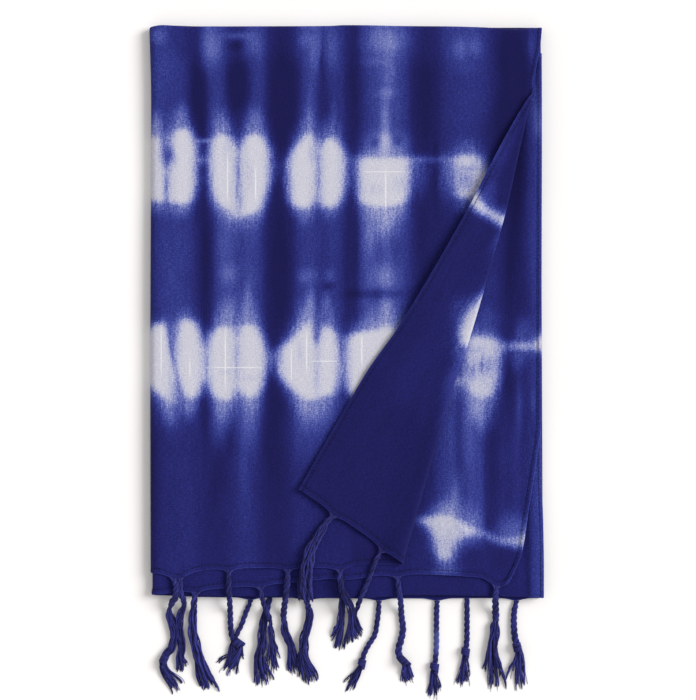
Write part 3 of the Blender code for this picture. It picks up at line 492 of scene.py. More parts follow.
# How pale the dyed ground is, from 0 to 1, in columns down the cloth. Where the middle column from x 446 and
# the lower column from x 355 fall on the part turned back, their low values are partly painted shade.
GROUND_AND_FLAP_SHADE = table("x crown upper middle lower", (
    (150, 0.13, 0.17, 0.10, 0.06), (158, 0.20, 0.21, 0.17, 0.08), (168, 0.18, 0.20, 0.22, 0.12),
    (180, 0.14, 0.18, 0.22, 0.13), (188, 0.11, 0.12, 0.20, 0.13), (196, 0.09, 0.04, 0.12, 0.11),
    (204, 0.22, 0.05, 0.05, 0.09), (210, 0.28, 0.17, 0.07, 0.08), (216, 0.26, 0.22, 0.19, 0.07),
    (224, 0.21, 0.17, 0.28, 0.08), (230, 0.15, 0.08, 0.28, 0.10), (236, 0.11, 0.06, 0.26, 0.12),
    (243, 0.15, 0.07, 0.24, 0.15), (250, 0.22, 0.14, 0.26, 0.14), (258, 0.24, 0.21, 0.22, 0.11),
    (264, 0.19, 0.16, 0.12, 0.07), (270, 0.10, 0.05, 0.04, 0.05), (280, 0.06, 0.02, 0.03, 0.05),
    (290, 0.09, 0.03, 0.05, 0.08), (297, 0.17, 0.07, 0.14, 0.11), (304, 0.26, 0.20, 0.21, 0.11),
    (312, 0.28, 0.25, 0.21, 0.10), (319, 0.24, 0.18, 0.17, 0.09), (324, 0.21, 0.14, 0.16, 0.09),
    (332, 0.24, 0.16, 0.19, 0.09), (340, 0.19, 0.17, 0.16, 0.08), (348, 0.09, 0.07, 0.06, 0.08),
    (355, 0.06, 0.05, 0.09, 0.04), (362, 0.19, 0.13, 0.24, 0.04), (370, 0.28, 0.22, 0.32, 0.04),
    (378, 0.33, 0.27, 0.28, 0.04), (388, 0.34, 0.30, 0.32, 0.04), (398, 0.29, 0.24, 0.28, 0.04),
    (406, 0.24, 0.18, 0.20, 0.04), (413, 0.15, 0.07, 0.13, 0.04), (424, 0.09, 0.03, 0.07, 0.04),
    (436, 0.10, 0.06, 0.06, 0.04), (446, 0.19, 0.13, 0.07, 0.04), (458, 0.24, 0.15, 0.07, 0.04),
    (470, 0.24, 0.16, 0.08, 0.04), (482, 0.19, 0.15, 0.08, 0.04), (494, 0.10, 0.10, 0.09, 0.04),
    (504, 0.05, 0.06, 0.08, 0.04), (516, 0.04, 0.05, 0.06, 0.04), (526, 0.08, 0.06, 0.05, 0.04),
    (532, 0.15, 0.10, 0.06, 0.04), (550, 0.15, 0.11, 0.07, 0.04),
))
GROUND_ZONES = ((44, 76), (185, 235), (395, 450))
INNER_GROUND = table("x upper lower", (
    (150, 0.12, 0.12), (400, 0.12, 0.10), (420, 0.13, 0.08), (432, 0.13, 0.12), (440, 0.13, 0.19),
    (446, 0.13, 0.23), (452, 0.13, 0.25), (458, 0.14, 0.17), (464, 0.14, 0.21), (470, 0.15, 0.25),
    (478, 0.15, 0.24), (482, 0.16, 0.20), (486, 0.17, 0.10), (496, 0.14, 0.09), (504, 0.10, 0.12),
    (510, 0.06, 0.11), (517, 0.06, 0.14), (524, 0.10, 0.12), (530, 0.16, 0.14), (537, 0.20, 0.18),
    (550, 0.18, 0.20),
))
INNER_GROUND_ZONE = (350, 420)
INNER_PLAIN_ZONE = (530, 556)
INNER_PLAIN = 0.09
THIRD_GROUND = table("x pale", (
    (150, 0.07), (515, 0.08), (526, 0.10), (533, 0.20), (540, 0.24), (550, 0.16),
))

# Soft pale (above 0) and dark (below 0) clouds of the outer panel's ground. The dark cloud at (506, 112), on
# the top layer left of the part turned back, is painted shadow of that part over the darker dye there.
OUTER_CLOUDS_AND_SHADOW = table("x y half_width half_height lean change", (
    (159, 36, 9, 8, 0, 0.16), (212, 46, 11, 18, 0, 0.16), (207, 66, 6, 12, 0.1, 0.08),
    (237, 36, 14, 3.5, 0, 0.16), (236, 46, 9, 5, 0, -0.10), (254, 45, 10, 13, 0, 0.12),
    (315, 50, 6, 22, 0, 0.12), (332, 52, 6, 24, 0, 0.10), (322, 64, 2, 20, 0, -0.12),
    (305, 40, 6, 8, 0, 0.10), (385, 40, 22, 12, 0, 0.14), (391, 47, 8, 14, 0, 0.10),
    (389, 75, 7, 16, 0, 0.12), (376, 62, 14, 5, 0, 0.08), (386, 93, 10, 5, 0, 0.14),
    (385, 126, 4.5, 30, 0, 0.24), (386, 144, 22, 12, 0, 0.30), (375, 143, 5, 6, 0, -0.22),
    (397, 141, 5, 6, 0, -0.20), (460, 50, 8, 12, 0, 0.14), (476, 46, 6, 12, 0, 0.12),
    (466, 70, 14, 6, 0, 0.05), (198, 100, 8, 38, 0.06, -0.08), (238, 84, 11, 26, 0, -0.12),
    (285, 90, 14, 52, 0, -0.05), (321, 104, 8, 24, 0, -0.07), (353, 90, 6, 55, 0, -0.03),
    # (506, 112) is painted shadow cast by the part turned back
    (425, 90, 12, 60, 0, -0.03), (510, 56, 15, 26, 0, -0.07), (506, 112, 17, 44, -0.3, -0.09),
    (168, 72, 16, 26, 0, 0.04), (467, 95, 26, 34, 0, 0.02), (531, 46, 4, 12, 0, 0.08),
    (309.5, 110, 2.5, 18, 0, 0.10), (334, 112, 2.5, 16, 0, 0.10), (182, 112, 7, 10, 0, 0.14),
    (156.5, 122, 5, 13, 0, 0.16), (222, 118, 8, 12, 0, 0.08), (254, 116, 9, 12, 0, 0.08),
    (203, 141, 9, 2.4, -0.3, 0.34), (202, 160, 7, 2.2, 0, 0.18), (430, 160, 26, 3, 0, 0.12),
    (421, 185, 7, 16, 0, 0.12), (446, 181, 8, 18, 0, 0.12), (436, 170, 2, 30, 0, -0.10),
    (480, 205, 8, 10, 0, 0.10), (206, 268, 5, 52, 0, -0.05), (280, 268, 8, 50, 0, -0.05),
    (282.5, 240, 1.6, 20, 0, -0.06), (229, 273, 9, 11, 0, 0.14), (248, 298, 4, 25, 0, 0.12),
    (230, 309, 5, 13, 0, 0.10), (226, 242, 8, 14, 0, 0.05), (307, 276, 10, 8, 0, 0.16),
    (329, 275, 6, 7, 0, 0.12), (329, 286, 7, 2.5, 0, -0.14), (311, 304, 4, 16, 0, 0.22),
    (326, 302, 4, 10, 0, 0.12), (385, 277, 12, 13, 0, 0.20), (375, 294, 27, 5, 0, -0.16),
    (386, 305, 7, 9, 0, 0.16), (370, 237, 7, 17, 0, 0.12), (383, 227, 5, 9, 0, 0.12),
    (356, 250, 3, 40, 0, -0.06), (395, 250, 5, 24, 0, -0.06), (420, 240, 8, 30, 0, -0.04),
    (169, 414, 8, 15, 0.2, 0.15), (190, 407, 6, 9, 0, 0.15), (219, 422, 9, 24, 0, 0.16),
    (250, 424, 10, 28, 0, 0.16), (244, 475, 6, 36, 0.05, 0.06), (308, 428, 20, 34, 0, 0.14),
    (322, 415, 9, 16, 0, 0.10), (154, 470, 5, 70, 0, -0.03), (205, 430, 4, 40, 0, -0.04),
    (230, 430, 4, 26, 0, -0.05), (218, 480, 7, 34, -0.2, -0.03), (275, 440, 10, 48, 0, -0.04),
    (360, 416, 20, 14, 0, 0.12), (531, 203, 9, 10, 0, 0.10), (500, 240, 6, 15, 0, 0.12),
    (464, 376, 7, 24, -0.2, 0.16), (452, 408, 5, 24, -0.2, 0.08), (519, 222, 26, 10, 0, 0.06),
    (541, 165, 6, 22, 0, 0.06),
))
# Clouds of the inner panel's ground. The dark clouds at (518, 175) and (505, 270) are painted shade along the
# trough right of the roll; the pale clouds at (538, 125) and (533, 110) are a painted highlight on the ridge
# beside it; the others are dye.
INNER_CLOUDS_AND_LIGHT = table("x y half_width half_height lean change", (
    (518, 175, 9, 50, -0.08, -0.08), (505, 270, 8, 56, -0.08, -0.06), (538, 125, 4, 18, 0, 0.14),
    (533, 110, 6, 30, 0, 0.08), (526, 300, 6, 30, 0, -0.04), (519, 405, 3.0, 28, 0, 0.10),
    (533, 400, 2.6, 14, 0, 0.10), (476, 412, 11, 16, 0, 0.14), (468, 438, 6, 26, 0.05, 0.08),
    (456, 494, 5, 20, -0.05, 0.16), (508, 392, 8, 40, 0, -0.07), (522, 328, 8, 12, 0, 0.14),
    (517, 362, 7, 12, 0, 0.14), (445, 512, 14, 12, 0, 0.10), (512, 522, 13, 12, 0, 0.12),
    (443, 571, 17, 4, 0, 0.14), (500, 560, 14, 12, 0, -0.03), (493, 450, 4, 60, 0, -0.03),
    (541, 342, 3, 12, 0, 0.16), (485, 318, 16, 10, 0, 0.08),
))
CLOUD_EDGE = 1.25

# Threads that took no dye, as short bright lines, with half of each size
SLUBS = table("x y half_width half_height", (
    (227.6, 176, 0.8, 24), (255.7, 184, 0.7, 16), (385.6, 192, 0.8, 22), (161.3, 350, 0.6, 22),
    (190.0, 368, 0.6, 9), (225.4, 360, 0.8, 28), (291.4, 365, 0.6, 16), (306.7, 352, 0.7, 20),
    (361.8, 351, 0.8, 16), (236.0, 367.5, 27, 0.6), (324.0, 361.2, 13, 0.6),
    (385.0, 172.0, 22, 0.5),
))

# Colours, as they look: how far the dye took, and red, green and blue from 0 to 1
DYE_COLOURS = table("pale red green blue", (
    (0.00, 0.074, 0.069, 0.285), (0.10, 0.110, 0.112, 0.374), (0.22, 0.162, 0.188, 0.484),
    (0.36, 0.252, 0.292, 0.592), (0.52, 0.395, 0.430, 0.680), (0.70, 0.565, 0.585, 0.755),
    (0.86, 0.695, 0.702, 0.792), (1.00, 0.762, 0.762, 0.808),
))
SLUB_COLOUR = (0.865, 0.868, 0.885)


def smooth(x):
    """0 below 0, 1 above 1, and a soft step between them."""
    x = np.clip(x, 0.0, 1.0)
    return x * x * (3 - 2 * x)


def curve_at(rows, along):
    """Reads a table of two columns by a curve that passes through each row."""
    x, y = np.array(rows).T
    steep = np.diff(y) / np.diff(x)
    before, after = steep[:-1], steep[1:]
    level = before * after <= 0
    inner = np.where(level, 0.0, 2 * before * after / np.where(level, 1.0, before + after))
    slopes = np.concatenate(([steep[0]], inner, [steep[-1]]))
    along = np.clip(along, x[0], x[-1])
    i = np.clip(np.searchsorted(x, along, side="right") - 1, 0, len(x) - 2)
    h = x[i + 1] - x[i]
    t = (along - x[i]) / h
    rise = t * t * (3 - 2 * t)
    bend = h * slopes[i] * t * (1 - t) ** 2 - h * slopes[i + 1] * t * t * (1 - t)
    return y[i] * (1 - rise) + y[i + 1] * rise + bend


def plan_across(x):
    return (x - LEFT_PIXEL) * PIXEL


def plan_down(y):
    return (y - TOP_PIXEL) * PIXEL


def hem_at(hem, across):
    """How far down a hem lies. Each tassel draws it down a little."""
    down = curve_at(OUTER_HEM if hem == "outer" else INNER_HEM, across)
    for tassel in TASSELS:
        if tassel.hem == hem:
            down = down + HEM_PULL * np.exp(-(((across - tassel.across) / HEM_PULL_WIDTH) ** 2))
    return down


def right_edge(depth, down, upper):
    """The flat right edge of a layer; between two layers it passes from one to the other."""
    edge = 0.0
    for level, rows in enumerate(RIGHT_EDGES):
        edge = edge + np.clip(1 - np.abs(depth - level), 0, 1) * curve_at(rows, down)
    return np.where(upper, edge, UNDER_RIGHT_EDGE)


def swelling(depth, across, down):
    """How far a layer of the upper half stands above the flat stack."""
    height = 0.0
    for swell in SWELLS:
        side = (across - swell.across - swell.lean * (down - swell.down)) / swell.half_width
        along = (down - swell.down) / swell.half_length
        share = np.clip(1 - 0.5 * (depth - swell.depth), 0, 1)
        height = height + share * swell.height * np.exp(-(side**2) - along**2)
    band = smooth((across - BAND_LEFT) / BAND_WALL)
    band = band * smooth((down - BAND_STARTS) / (BAND_FULL - BAND_STARTS))
    return height + smooth(DEEPEST - depth) * smooth(depth) * BAND_HEIGHT * band


def creased(part, across, down):
    """How far the creases of one part of the cloth lift it, or let it sink."""
    height = 0.0
    for crease in CREASES:
        if crease.part == part:
            start = np.array((plan_across(crease.x), plan_down(crease.y)))
            way = np.array((plan_across(crease.end_x), plan_down(crease.end_y))) - start
            length = np.linalg.norm(way)
            way /= length
            along = ((across - start[0]) * way[0] + (down - start[1]) * way[1]) / length
            aside = (across - start[0]) * way[1] - (down - start[1]) * way[0]
            aside = aside / (crease.half_width * PIXEL)
            ends = smooth(along / CREASE_FADE + 0.5) * smooth((1 - along) / CREASE_FADE + 0.5)
            height = height + crease.height * ends * np.exp(-(aside**2))
    return height


def waves(depth, across, down, right, upper):
    """Fine unevenness of a layer: shallow waves, and the waves of its hems."""
    height = 0.0
    shift = DEPTH_SHIFT * depth + np.where(upper, 0.0, UNDER_SHIFT)
    for wave in LAYER_WAVES:
        phase = 2 * math.pi * (across + wave.slope * down) / wave.length + wave.turn + shift
        swelling_phase = phase * SWELLING_TURN + 2 * math.pi * down / SWELLING_LENGTH
        height = height + wave.height * np.sin(phase) * np.sin(swelling_phase)
    at_side = np.exp(-np.abs(right - np.abs(across)) / HEM_WAVES_REACH)
    at_end = np.exp(-np.abs(hem_at("outer", across) - down) / HEM_WAVES_REACH)
    at_end = at_end * np.clip(1 - depth, 0, 1)
    for wave in HEM_WAVES:
        turn = wave.turn + HEM_WAVES_SHIFT * shift
        height = height + at_side * wave.height * np.sin(2 * math.pi * down / wave.length + turn)
        height = height + at_end * wave.height * np.sin(2 * math.pi * across / wave.length + turn)
    return height


def roll_radius(along):
    share = np.clip(along / ROLL_LENGTH, 0, 1)
    return ROLL_RADIUS_TOP + (ROLL_RADIUS_BOTTOM - ROLL_RADIUS_TOP) * share


def rolled(across, down):
    """Takes a place on the flat top layer round the roll.

    Gives its new place across and down, its height, and how far it has passed the roll.
    """
    sin, cos = math.sin(ROLL_LEAN), math.cos(ROLL_LEAN)
    right, below = across - ROLL_ACROSS, down - ROLL_DOWN
    along = below * cos - right * sin
    bow = curve_at(ROLL_BOW, along)
    out = right * cos + below * sin - bow
    radius = roll_radius(along)
    angle = np.clip(out / radius, 0, math.pi)
    beyond = np.maximum(out - math.pi * radius, 0)
    turned = bow + np.minimum(out, 0) + radius * np.sin(angle) - beyond
    flap_width = np.maximum(FLAP_SPREAD * (along - FLAP_STARTS), 0.001)
    lifted = FLAP_REST + curve_at(FLAP_LIFT, along) * smooth(beyond / flap_width)
    settled = smooth(beyond / FLAP_SETTLES)
    flap_height = lifted * settled + 2 * radius * (1 - settled)
    height = np.where(beyond > 0, flap_height, radius * (1 - np.cos(angle)))
    over = smooth(beyond / (2 * radius))
    return ROLL_ACROSS - along * sin + turned * cos, ROLL_DOWN + along * cos + turned * sin, height, over


# Places along the flat cloth, from the fold at the top: where the third panel, which runs up
# from the bottom fold, and the inner panel would meet the line of that fold
THIRD_START = 1.020
INNER_START = 0.970


def section(v, across):
    """The depth, the place down and the place along the flat cloth of a line v from the outer hem.

    v counts the panels: 0 to 1 is the outer end panel, 1 to 2 the turn at the top, 2 to 3 the
    deepest panel, 3 to 4 the turn at the bottom, 4 to 5 the third panel, 5 to 6 the inner turn
    at the top, and 6 to 7 the inner end panel. Along the cloth, 0 is the fold at the top.
    """
    stage = np.clip(np.floor(v), 0, 6).astype(int)
    share = v - stage
    outer, inner = hem_at("outer", across), hem_at("inner", across)
    top = curve_at(TOP_FOLD, across) + OUTER_TURN
    bottom = curve_at(BOTTOM_FOLD, across) - INNER_TURN
    inside = curve_at(INNER_FOLD, across) + INNER_TURN
    half_turn = (1 - np.cos(math.pi * share)) / 2
    bulge = np.sin(math.pi * share)
    depths = (0.0, 3 * half_turn, 3.0, 3 - half_turn, 2.0, 2 - half_turn, 1.0)
    downs = (
        outer + (top - outer) * share,
        top - OUTER_TURN * bulge,
        top + (bottom - top) * share,
        bottom + INNER_TURN * bulge,
        bottom + (inside - bottom) * share,
        inside - INNER_TURN * bulge,
        inside + (inner - inside) * share,
    )
    down = np.choose(stage, downs)
    alongs = (
        -down,
        top * (2 * share - 1),
        down,
        bottom + (THIRD_START - 2 * bottom) * share,
        THIRD_START - down,
        THIRD_START - inside + (INNER_START - THIRD_START + 2 * inside) * share,
        INNER_START + down,
    )
    return np.choose(stage, depths), down, np.choose(stage, alongs)


def flat_line(v, across):
    """A line where it passes a place across: its depth, place down, and flat part's two ends."""
    depth, down, _ = section(v, across)
    start = curve_at(LEFT_FOLD, down) + INSET * depth + (DEEPEST + 0.5 - depth) * PITCH
    return depth, down, start, right_edge(depth, down, across > 0)


def flat_across(u, v):
    """The place of a point across the flat layer; round the fold at the left it passes 0."""
    side = np.sign(u) * np.clip(np.abs(u) - 1, 0, 1)
    _, _, start, right = flat_line(v, side * UNDER_RIGHT_EDGE)
    return np.clip(u, -1, 1) * start + side * (right - start)


def place(u, v):
    """Points of the cloth, as rows of across, down and height above the floor.

    u runs from -2 at the right hem of the half underneath, round the fold at the left from
    -1 to 1, to 2 at the right hem of the upper half. v is as in section.
    """
    u, v = np.broadcast_arrays(np.asarray(u, float), np.asarray(v, float))
    upper = u > 0
    share = np.clip(np.abs(u) - 1, 0, 1)
    depth, down, start, right = flat_line(v, flat_across(u, v))
    radius = (DEEPEST + 0.5 - depth) * PITCH
    turn = np.clip(u, -1, 1) * math.pi / 2
    across = start - radius * np.cos(turn) + (right - start) * share
    height = MIDDLE + radius * np.sin(turn)
    height = height + np.abs(np.sin(turn)) * waves(depth, across, down, right, upper)
    turned_across, turned_down, rise, over = rolled(across, down)
    turns_back = upper & (v < 1)
    over = np.where(turns_back, over, 0.0)
    across = np.where(turns_back, turned_across, across)
    down = np.where(turns_back, turned_down, down)
    height = height + np.where(turns_back, rise, 0.0)
    in_part = {
        "top": turns_back * (1 - over), "flap": over,
        "inner": upper & (v > 6), "band": upper & (v > 2) & (v < 5),
    }
    creases = sum(share_of * creased(part, across, down) for part, share_of in in_part.items())
    height = height + np.clip(np.sin(turn), 0, 1) * (swelling(depth, across, down) + creases)
    return np.stack((across, down, height), axis=-1)


def facing(u, v):
    """The direction square to the cloth, on the side of its reverse."""
    u, v = np.broadcast_arrays(np.asarray(u, float), np.asarray(v, float))
    across = place(np.minimum(u + STEP, 2.0), v) - place(np.maximum(u - STEP, -2.0), v)
    along = place(u, np.minimum(v + STEP, LAST_LINE)) - place(u, np.maximum(v - STEP, 0.0))
    square = np.cross(across, along)
    return square / np.linalg.norm(square, axis=-1, keepdims=True)


def in_frame(points):
    """Points of the plan as points of the object's own frame."""
    points = np.asarray(points, float)
    return np.stack((points[..., 0] - ORIGIN_ACROSS, ORIGIN_DOWN - points[..., 1], points[..., 2]), axis=-1)


def hem_profile(width):
    """A turned hem, from its cut edge round to the cloth: how far inward and to the reverse."""
    profile = [(width * point.share, 2 * HEM_RADIUS + point.lift) for point in HEM_TURNED]
    for i in range(HEM_ARC_STEPS + 1):
        angle = math.pi * i / HEM_ARC_STEPS
        profile.append((HEM_RADIUS * (1 - math.sin(angle)), HEM_RADIUS * (1 + math.cos(angle))))
    return profile + [(width * point.share, point.lift) for point in HEM_FACE]


def spaced(marks, counts):
    """Places that run evenly from each mark to the next, without the last mark."""
    runs = [np.linspace(a, b, n, endpoint=False) for a, b, n in zip(marks, marks[1:], counts)]
    return np.concatenate(runs)


def ends_at(v, across):
    """Where the flat part of a line starts and ends, as numbers."""
    _, _, start, right = flat_line(v, across)
    return float(start), float(right)


def under_columns(v):
    """Places along u of the half underneath, close together at the tassels."""
    left, right = ends_at(v, -UNDER_RIGHT_EDGE)
    kept = right - SIDE_HEM * HEM_FACE[-1].share
    places = list(np.linspace(left, kept, UNDER_COLUMNS, endpoint=False)[1:])
    for tassel in TASSELS:
        if tassel.across < 0:
            places += [-tassel.across + offset for offset in ROOT_COLUMNS]
    places = np.array(sorted(places))
    return -1 - (places - left) / (right - left)


def columns_at(v):
    """The grid's places along u on a line v, and how far each lies to the reverse of the cloth."""
    hem = np.array(hem_profile(SIDE_HEM))
    hem_inward, hem_lift = hem[:, 0], hem[:, 1]
    left, right = ends_at(v, UNDER_RIGHT_EDGE)
    end = right - SIDE_HEM * HEM_FACE[-1].share
    if v < 2:
        _, down, _, _ = flat_line(v, UNDER_RIGHT_EDGE)
        along = float((down - ROLL_DOWN) / math.cos(ROLL_LEAN))
        bow = float(curve_at(ROLL_BOW, along)) / math.cos(ROLL_LEAN)
        start = ROLL_ACROSS - along * math.sin(ROLL_LEAN) + bow
        arc = math.pi * float(roll_radius(along)) / math.cos(ROLL_LEAN)
        marks = (left, start - ROLL_MARGIN, start, start + arc, max(end, start + arc))
        counts = (PLAIN_COLUMNS, MARGIN_COLUMNS, ROLL_COLUMNS, FLAP_COLUMNS)
    else:
        marks = (left, end - RIGHT_ZONE, end)
        counts = (PLAIN_COLUMNS, RIGHT_ZONE_COLUMNS)
    places = spaced(marks, counts)
    room = end - SQUEEZED_STEP * (len(places) - np.arange(len(places)))
    squeezed = places > room
    places = np.minimum(places, room)
    if squeezed.any() and int(np.argmax(squeezed)) < PLAIN_COLUMNS:
        places[:PLAIN_COLUMNS] = np.linspace(left, places[PLAIN_COLUMNS], PLAIN_COLUMNS, endpoint=False)
    upper = 1 + (np.concatenate((places, right - hem_inward[::-1])) - left) / (right - left)
    under_left, under_right = ends_at(v, -UNDER_RIGHT_EDGE)
    under = np.concatenate((-2 + hem_inward / (under_right - under_left), under_columns(v)[::-1]))
    us = np.concatenate((under, np.linspace(-1, 1, ARC_COLUMNS, endpoint=False), upper))
    lifts = np.zeros(len(us))
    lifts[: len(hem_lift)] = hem_lift
    lifts[-len(hem_lift):] = hem_lift[::-1]
    return us, lifts


def grid_rows():
    """Every line of the cloth's grid: v, and how far it lies to the reverse of the cloth."""
    hem = hem_profile(END_HEM)
    kept = END_HEM * HEM_FACE[-1].share / PANEL_LENGTH
    outer_zones = OUTER_ZONES[::-1]
    inner_top = INNER_FOLD[0].down + INNER_TURN
    marks = [kept] + [1 - plan_down(zone.y) / PANEL_LENGTH for zone in outer_zones] + [2, 3, 4, 5]
    marks += [6.0] + [6 + (plan_down(zone.y) - inner_top) / PANEL_LENGTH for zone in INNER_ZONES[1:]]
    marks.append(LAST_LINE - kept)
    counts = [zone.rows for zone in outer_zones] + [TURN_ROWS, DEEP_ROWS, INNER_TURN_ROWS, THIRD_ROWS]
    counts += [INNER_TURN_ROWS] + [zone.rows for zone in INNER_ZONES]
    rows = [(inward / PANEL_LENGTH, lift) for inward, lift in hem]
    rows += [(v, 0.0) for v in spaced(marks, counts)[1:]]
    return rows + [(LAST_LINE - inward / PANEL_LENGTH, lift) for inward, lift in reversed(hem)]


def column(rows, name, x):
    """One column of a table across the cloth, at places x."""
    return curve_at([(row.x, getattr(row, name)) for row in rows], x)


def mark_row(rows, x, y):
    """How white one row of marks leaves the cloth, and the pale edge round them."""
    top, bottom, white, above, below, halo = (column(rows, name, x) for name in MARK_COLUMNS.split()[1:])
    inside = smooth((y - top) / MARK_EDGE + 0.5) * smooth((bottom - y) / MARK_EDGE + 0.5)
    rising = smooth((y - top + above) / (above + MARK_EDGE / 2))
    falling = smooth((bottom + below - y) / (below + MARK_EDGE / 2))
    return np.maximum(inside * white, rising * falling * halo)


def soft_marks(rows, x, y):
    """One row of marks, blurred sideways, as the dye crept along the threads."""
    return sum(blur.share * mark_row(rows, x + blur.aside, y) for blur in MARK_BLUR)


def clouded(rows, x, y):
    """The sum of soft clouds."""
    total = 0.0
    for cloud in rows:
        side = (x - cloud.x - cloud.lean * (y - cloud.y)) / cloud.half_width
        along = (y - cloud.y) / cloud.half_height
        total = total + cloud.change * np.exp(-((side**2 + along**2) ** CLOUD_EDGE))
    return total


def dye_and_painted_light_at(across, length):
    """How white the bound marks are and how pale the cloth between them is, with some painted shade and
    highlight, at places of the flat cloth.
    """
    x = LEFT_PIXEL + np.abs(across) / PIXEL
    inner = length > (INNER_START + THIRD_START) / 2
    third = (length > THIRD_START / 2) & ~inner
    down = np.where(inner, length - INNER_START, np.where(third, THIRD_START - length, np.abs(length)))
    y = TOP_PIXEL + down / PIXEL
    marks = np.maximum(soft_marks(FIRST_ROW, x, y), soft_marks(SECOND_ROW, x, y))
    # The columns hold partly painted shade where they fall on the part turned back.
    ground_and_painted_light = column(GROUND_AND_FLAP_SHADE, "crown", x)
    for name, (start, end) in zip(("upper", "middle", "lower"), GROUND_ZONES):
        share = smooth((y - start) / (end - start))
        ground_and_painted_light = ground_and_painted_light * (1 - share) + column(GROUND_AND_FLAP_SHADE, name, x) * share
    # These clouds include a painted shadow left of the part turned back.
    ground_and_painted_light = ground_and_painted_light + clouded(OUTER_CLOUDS_AND_SHADOW, x, y)
    inner_marks = np.maximum(soft_marks(THIRD_ROW, x, y), soft_marks(FOURTH_ROW, x, y))
    lower = smooth((y - INNER_GROUND_ZONE[0]) / (INNER_GROUND_ZONE[1] - INNER_GROUND_ZONE[0]))
    inner_ground_and_painted_light = column(INNER_GROUND, "upper", x) * (1 - lower) + column(INNER_GROUND, "lower", x) * lower
    plain = smooth((y - INNER_PLAIN_ZONE[0]) / (INNER_PLAIN_ZONE[1] - INNER_PLAIN_ZONE[0]))
    # These clouds include painted shade along the trough right of the roll and a painted highlight on the
    # ridge beside it.
    inner_ground_and_painted_light = inner_ground_and_painted_light * (1 - plain) + INNER_PLAIN * plain + clouded(INNER_CLOUDS_AND_LIGHT, x, y)
    marks = np.where(inner, inner_marks, np.where(third, 0.0, marks))
    ground_and_painted_light = np.where(inner, inner_ground_and_painted_light, np.where(third, column(THIRD_GROUND, "pale", x), ground_and_painted_light))
    return np.clip(marks * (1 + clouded(STAINS, x, y)), 0, 1), np.clip(ground_and_painted_light, 0, 1)


def quads(rows, columns, closed=False):
    """The faces of a grid of points, which may be closed round its columns."""
    grid = np.arange(rows * columns).reshape(rows, columns)
    if closed:
        grid = np.concatenate((grid, grid[:, :1]), axis=1)
    corners = (grid[:-1, :-1], grid[:-1, 1:], grid[1:, 1:], grid[1:, :-1])
    return np.stack([corner.ravel() for corner in corners], axis=1)


def mesh_object(name, points, faces, maps, look):
    """A smooth mesh, with maps that hold two numbers for each point."""
    data = bpy.data.meshes.new(name)
    data.from_pydata(points.tolist(), [], [tuple(int(i) for i in face) for face in faces])
    corner_points = np.empty(len(data.loops), dtype=np.int32)
    data.loops.foreach_get("vertex_index", corner_points)
    for map_name, values in maps.items():
        layer = data.uv_layers.new(name=map_name)
        layer.data.foreach_set("uv", values[corner_points].astype(np.float32).ravel())
    data.materials.append(look)
    data.shade_smooth()
    made = bpy.data.objects.new(name, data)
    bpy.context.scene.collection.objects.link(made)
    return made


def make_cloth(look):
    """The whole cloth as one thin sheet with turned hems.

    Its maps hold where each point lies on the flat cloth, what the dye did there together with some painted
    shade and highlight, and how far it is from the side hem and from the end hem.
    """
    points, flat, dye, from_hems = [], [], [], []
    rows = grid_rows()
    for v, row_lift in rows:
        us, lifts = columns_at(v)
        vs = np.full(len(us), v)
        points.append(place(us, vs) + facing(us, vs) * (lifts + row_lift)[:, None])
        across = flat_across(us, vs)
        _, _, length = section(vs, across)
        _, _, _, right = flat_line(vs, across)
        flat.append(np.stack((across, length), axis=-1))
        dye.append(np.stack(dye_and_painted_light_at(across, length), axis=-1))
        side = np.minimum(np.abs(right - np.abs(across)), FAR_FROM_HEM)
        end = min(v, LAST_LINE - v, FAR_FROM_HEM / PANEL_LENGTH) * PANEL_LENGTH
        from_hems.append(np.stack((side, np.full(len(us), end)), axis=-1))
    maps = {"flat": flat, "dye": dye, "hems": from_hems}
    maps = {name: np.concatenate(values) for name, values in maps.items()}
    faces = quads(len(rows), len(points[0]))
    return mesh_object("stole_cloth", in_frame(np.concatenate(points)), faces, maps, look)


def u_at(across, v):
    """The place along u of a point of a hem, from its place across the flat layer."""
    left, right = ends_at(v, across)
    return math.copysign(1 + (abs(across) - left) / (right - left), across)


def tube(path, radii, sides, reference):
    """The points and faces of a tube along a path."""
    way = np.gradient(path, axis=0)
    way /= np.linalg.norm(way, axis=1, keepdims=True)
    side = np.cross(way, reference)
    side /= np.linalg.norm(side, axis=1, keepdims=True)
    up = np.cross(side, way)
    angles = 2 * math.pi * np.arange(sides) / sides
    ring = np.cos(angles)[None, :, None] * side[:, None] + np.sin(angles)[None, :, None] * up[:, None]
    points = path[:, None] + ring * radii[:, None, None]
    return points.reshape(-1, 3), quads(len(path), sides, closed=True)


class Yarns:
    """Gathers many tubes into one mesh."""

    def __init__(self):
        self.points, self.faces, self.maps = [], [], []
        self.count = 0
        self.number = 0

    def add(self, path, radii, sides, reference=(0, 0, 1)):
        path = np.asarray(path, float)
        radii = np.array(np.broadcast_to(radii, len(path)), float)
        radii[0] *= TAPER
        radii[-1] *= TAPER
        points, faces = tube(path, radii, sides, np.asarray(reference, float))
        steps = np.linalg.norm(np.diff(path, axis=0), axis=1)
        length = np.concatenate(([0], np.cumsum(steps)))
        around = np.arange(sides) / sides
        around = self.number + ROUND_A_YARN * around[None, :]
        values = np.stack(np.broadcast_arrays(length[:, None], around), axis=-1)
        caps = [tuple(range(sides)), tuple(len(points) - 1 - i for i in range(sides))]
        self.faces += [tuple(face + self.count) for face in faces]
        self.faces += [tuple(i + self.count for i in cap) for cap in caps]
        self.points.append(points)
        self.maps.append(values.reshape(-1, 2))
        self.count += len(points)
        self.number += 1

    def build(self, name, look):
        maps = {"flat": np.concatenate(self.maps)}
        return mesh_object(name, in_frame(np.concatenate(self.points)), self.faces, maps, look)


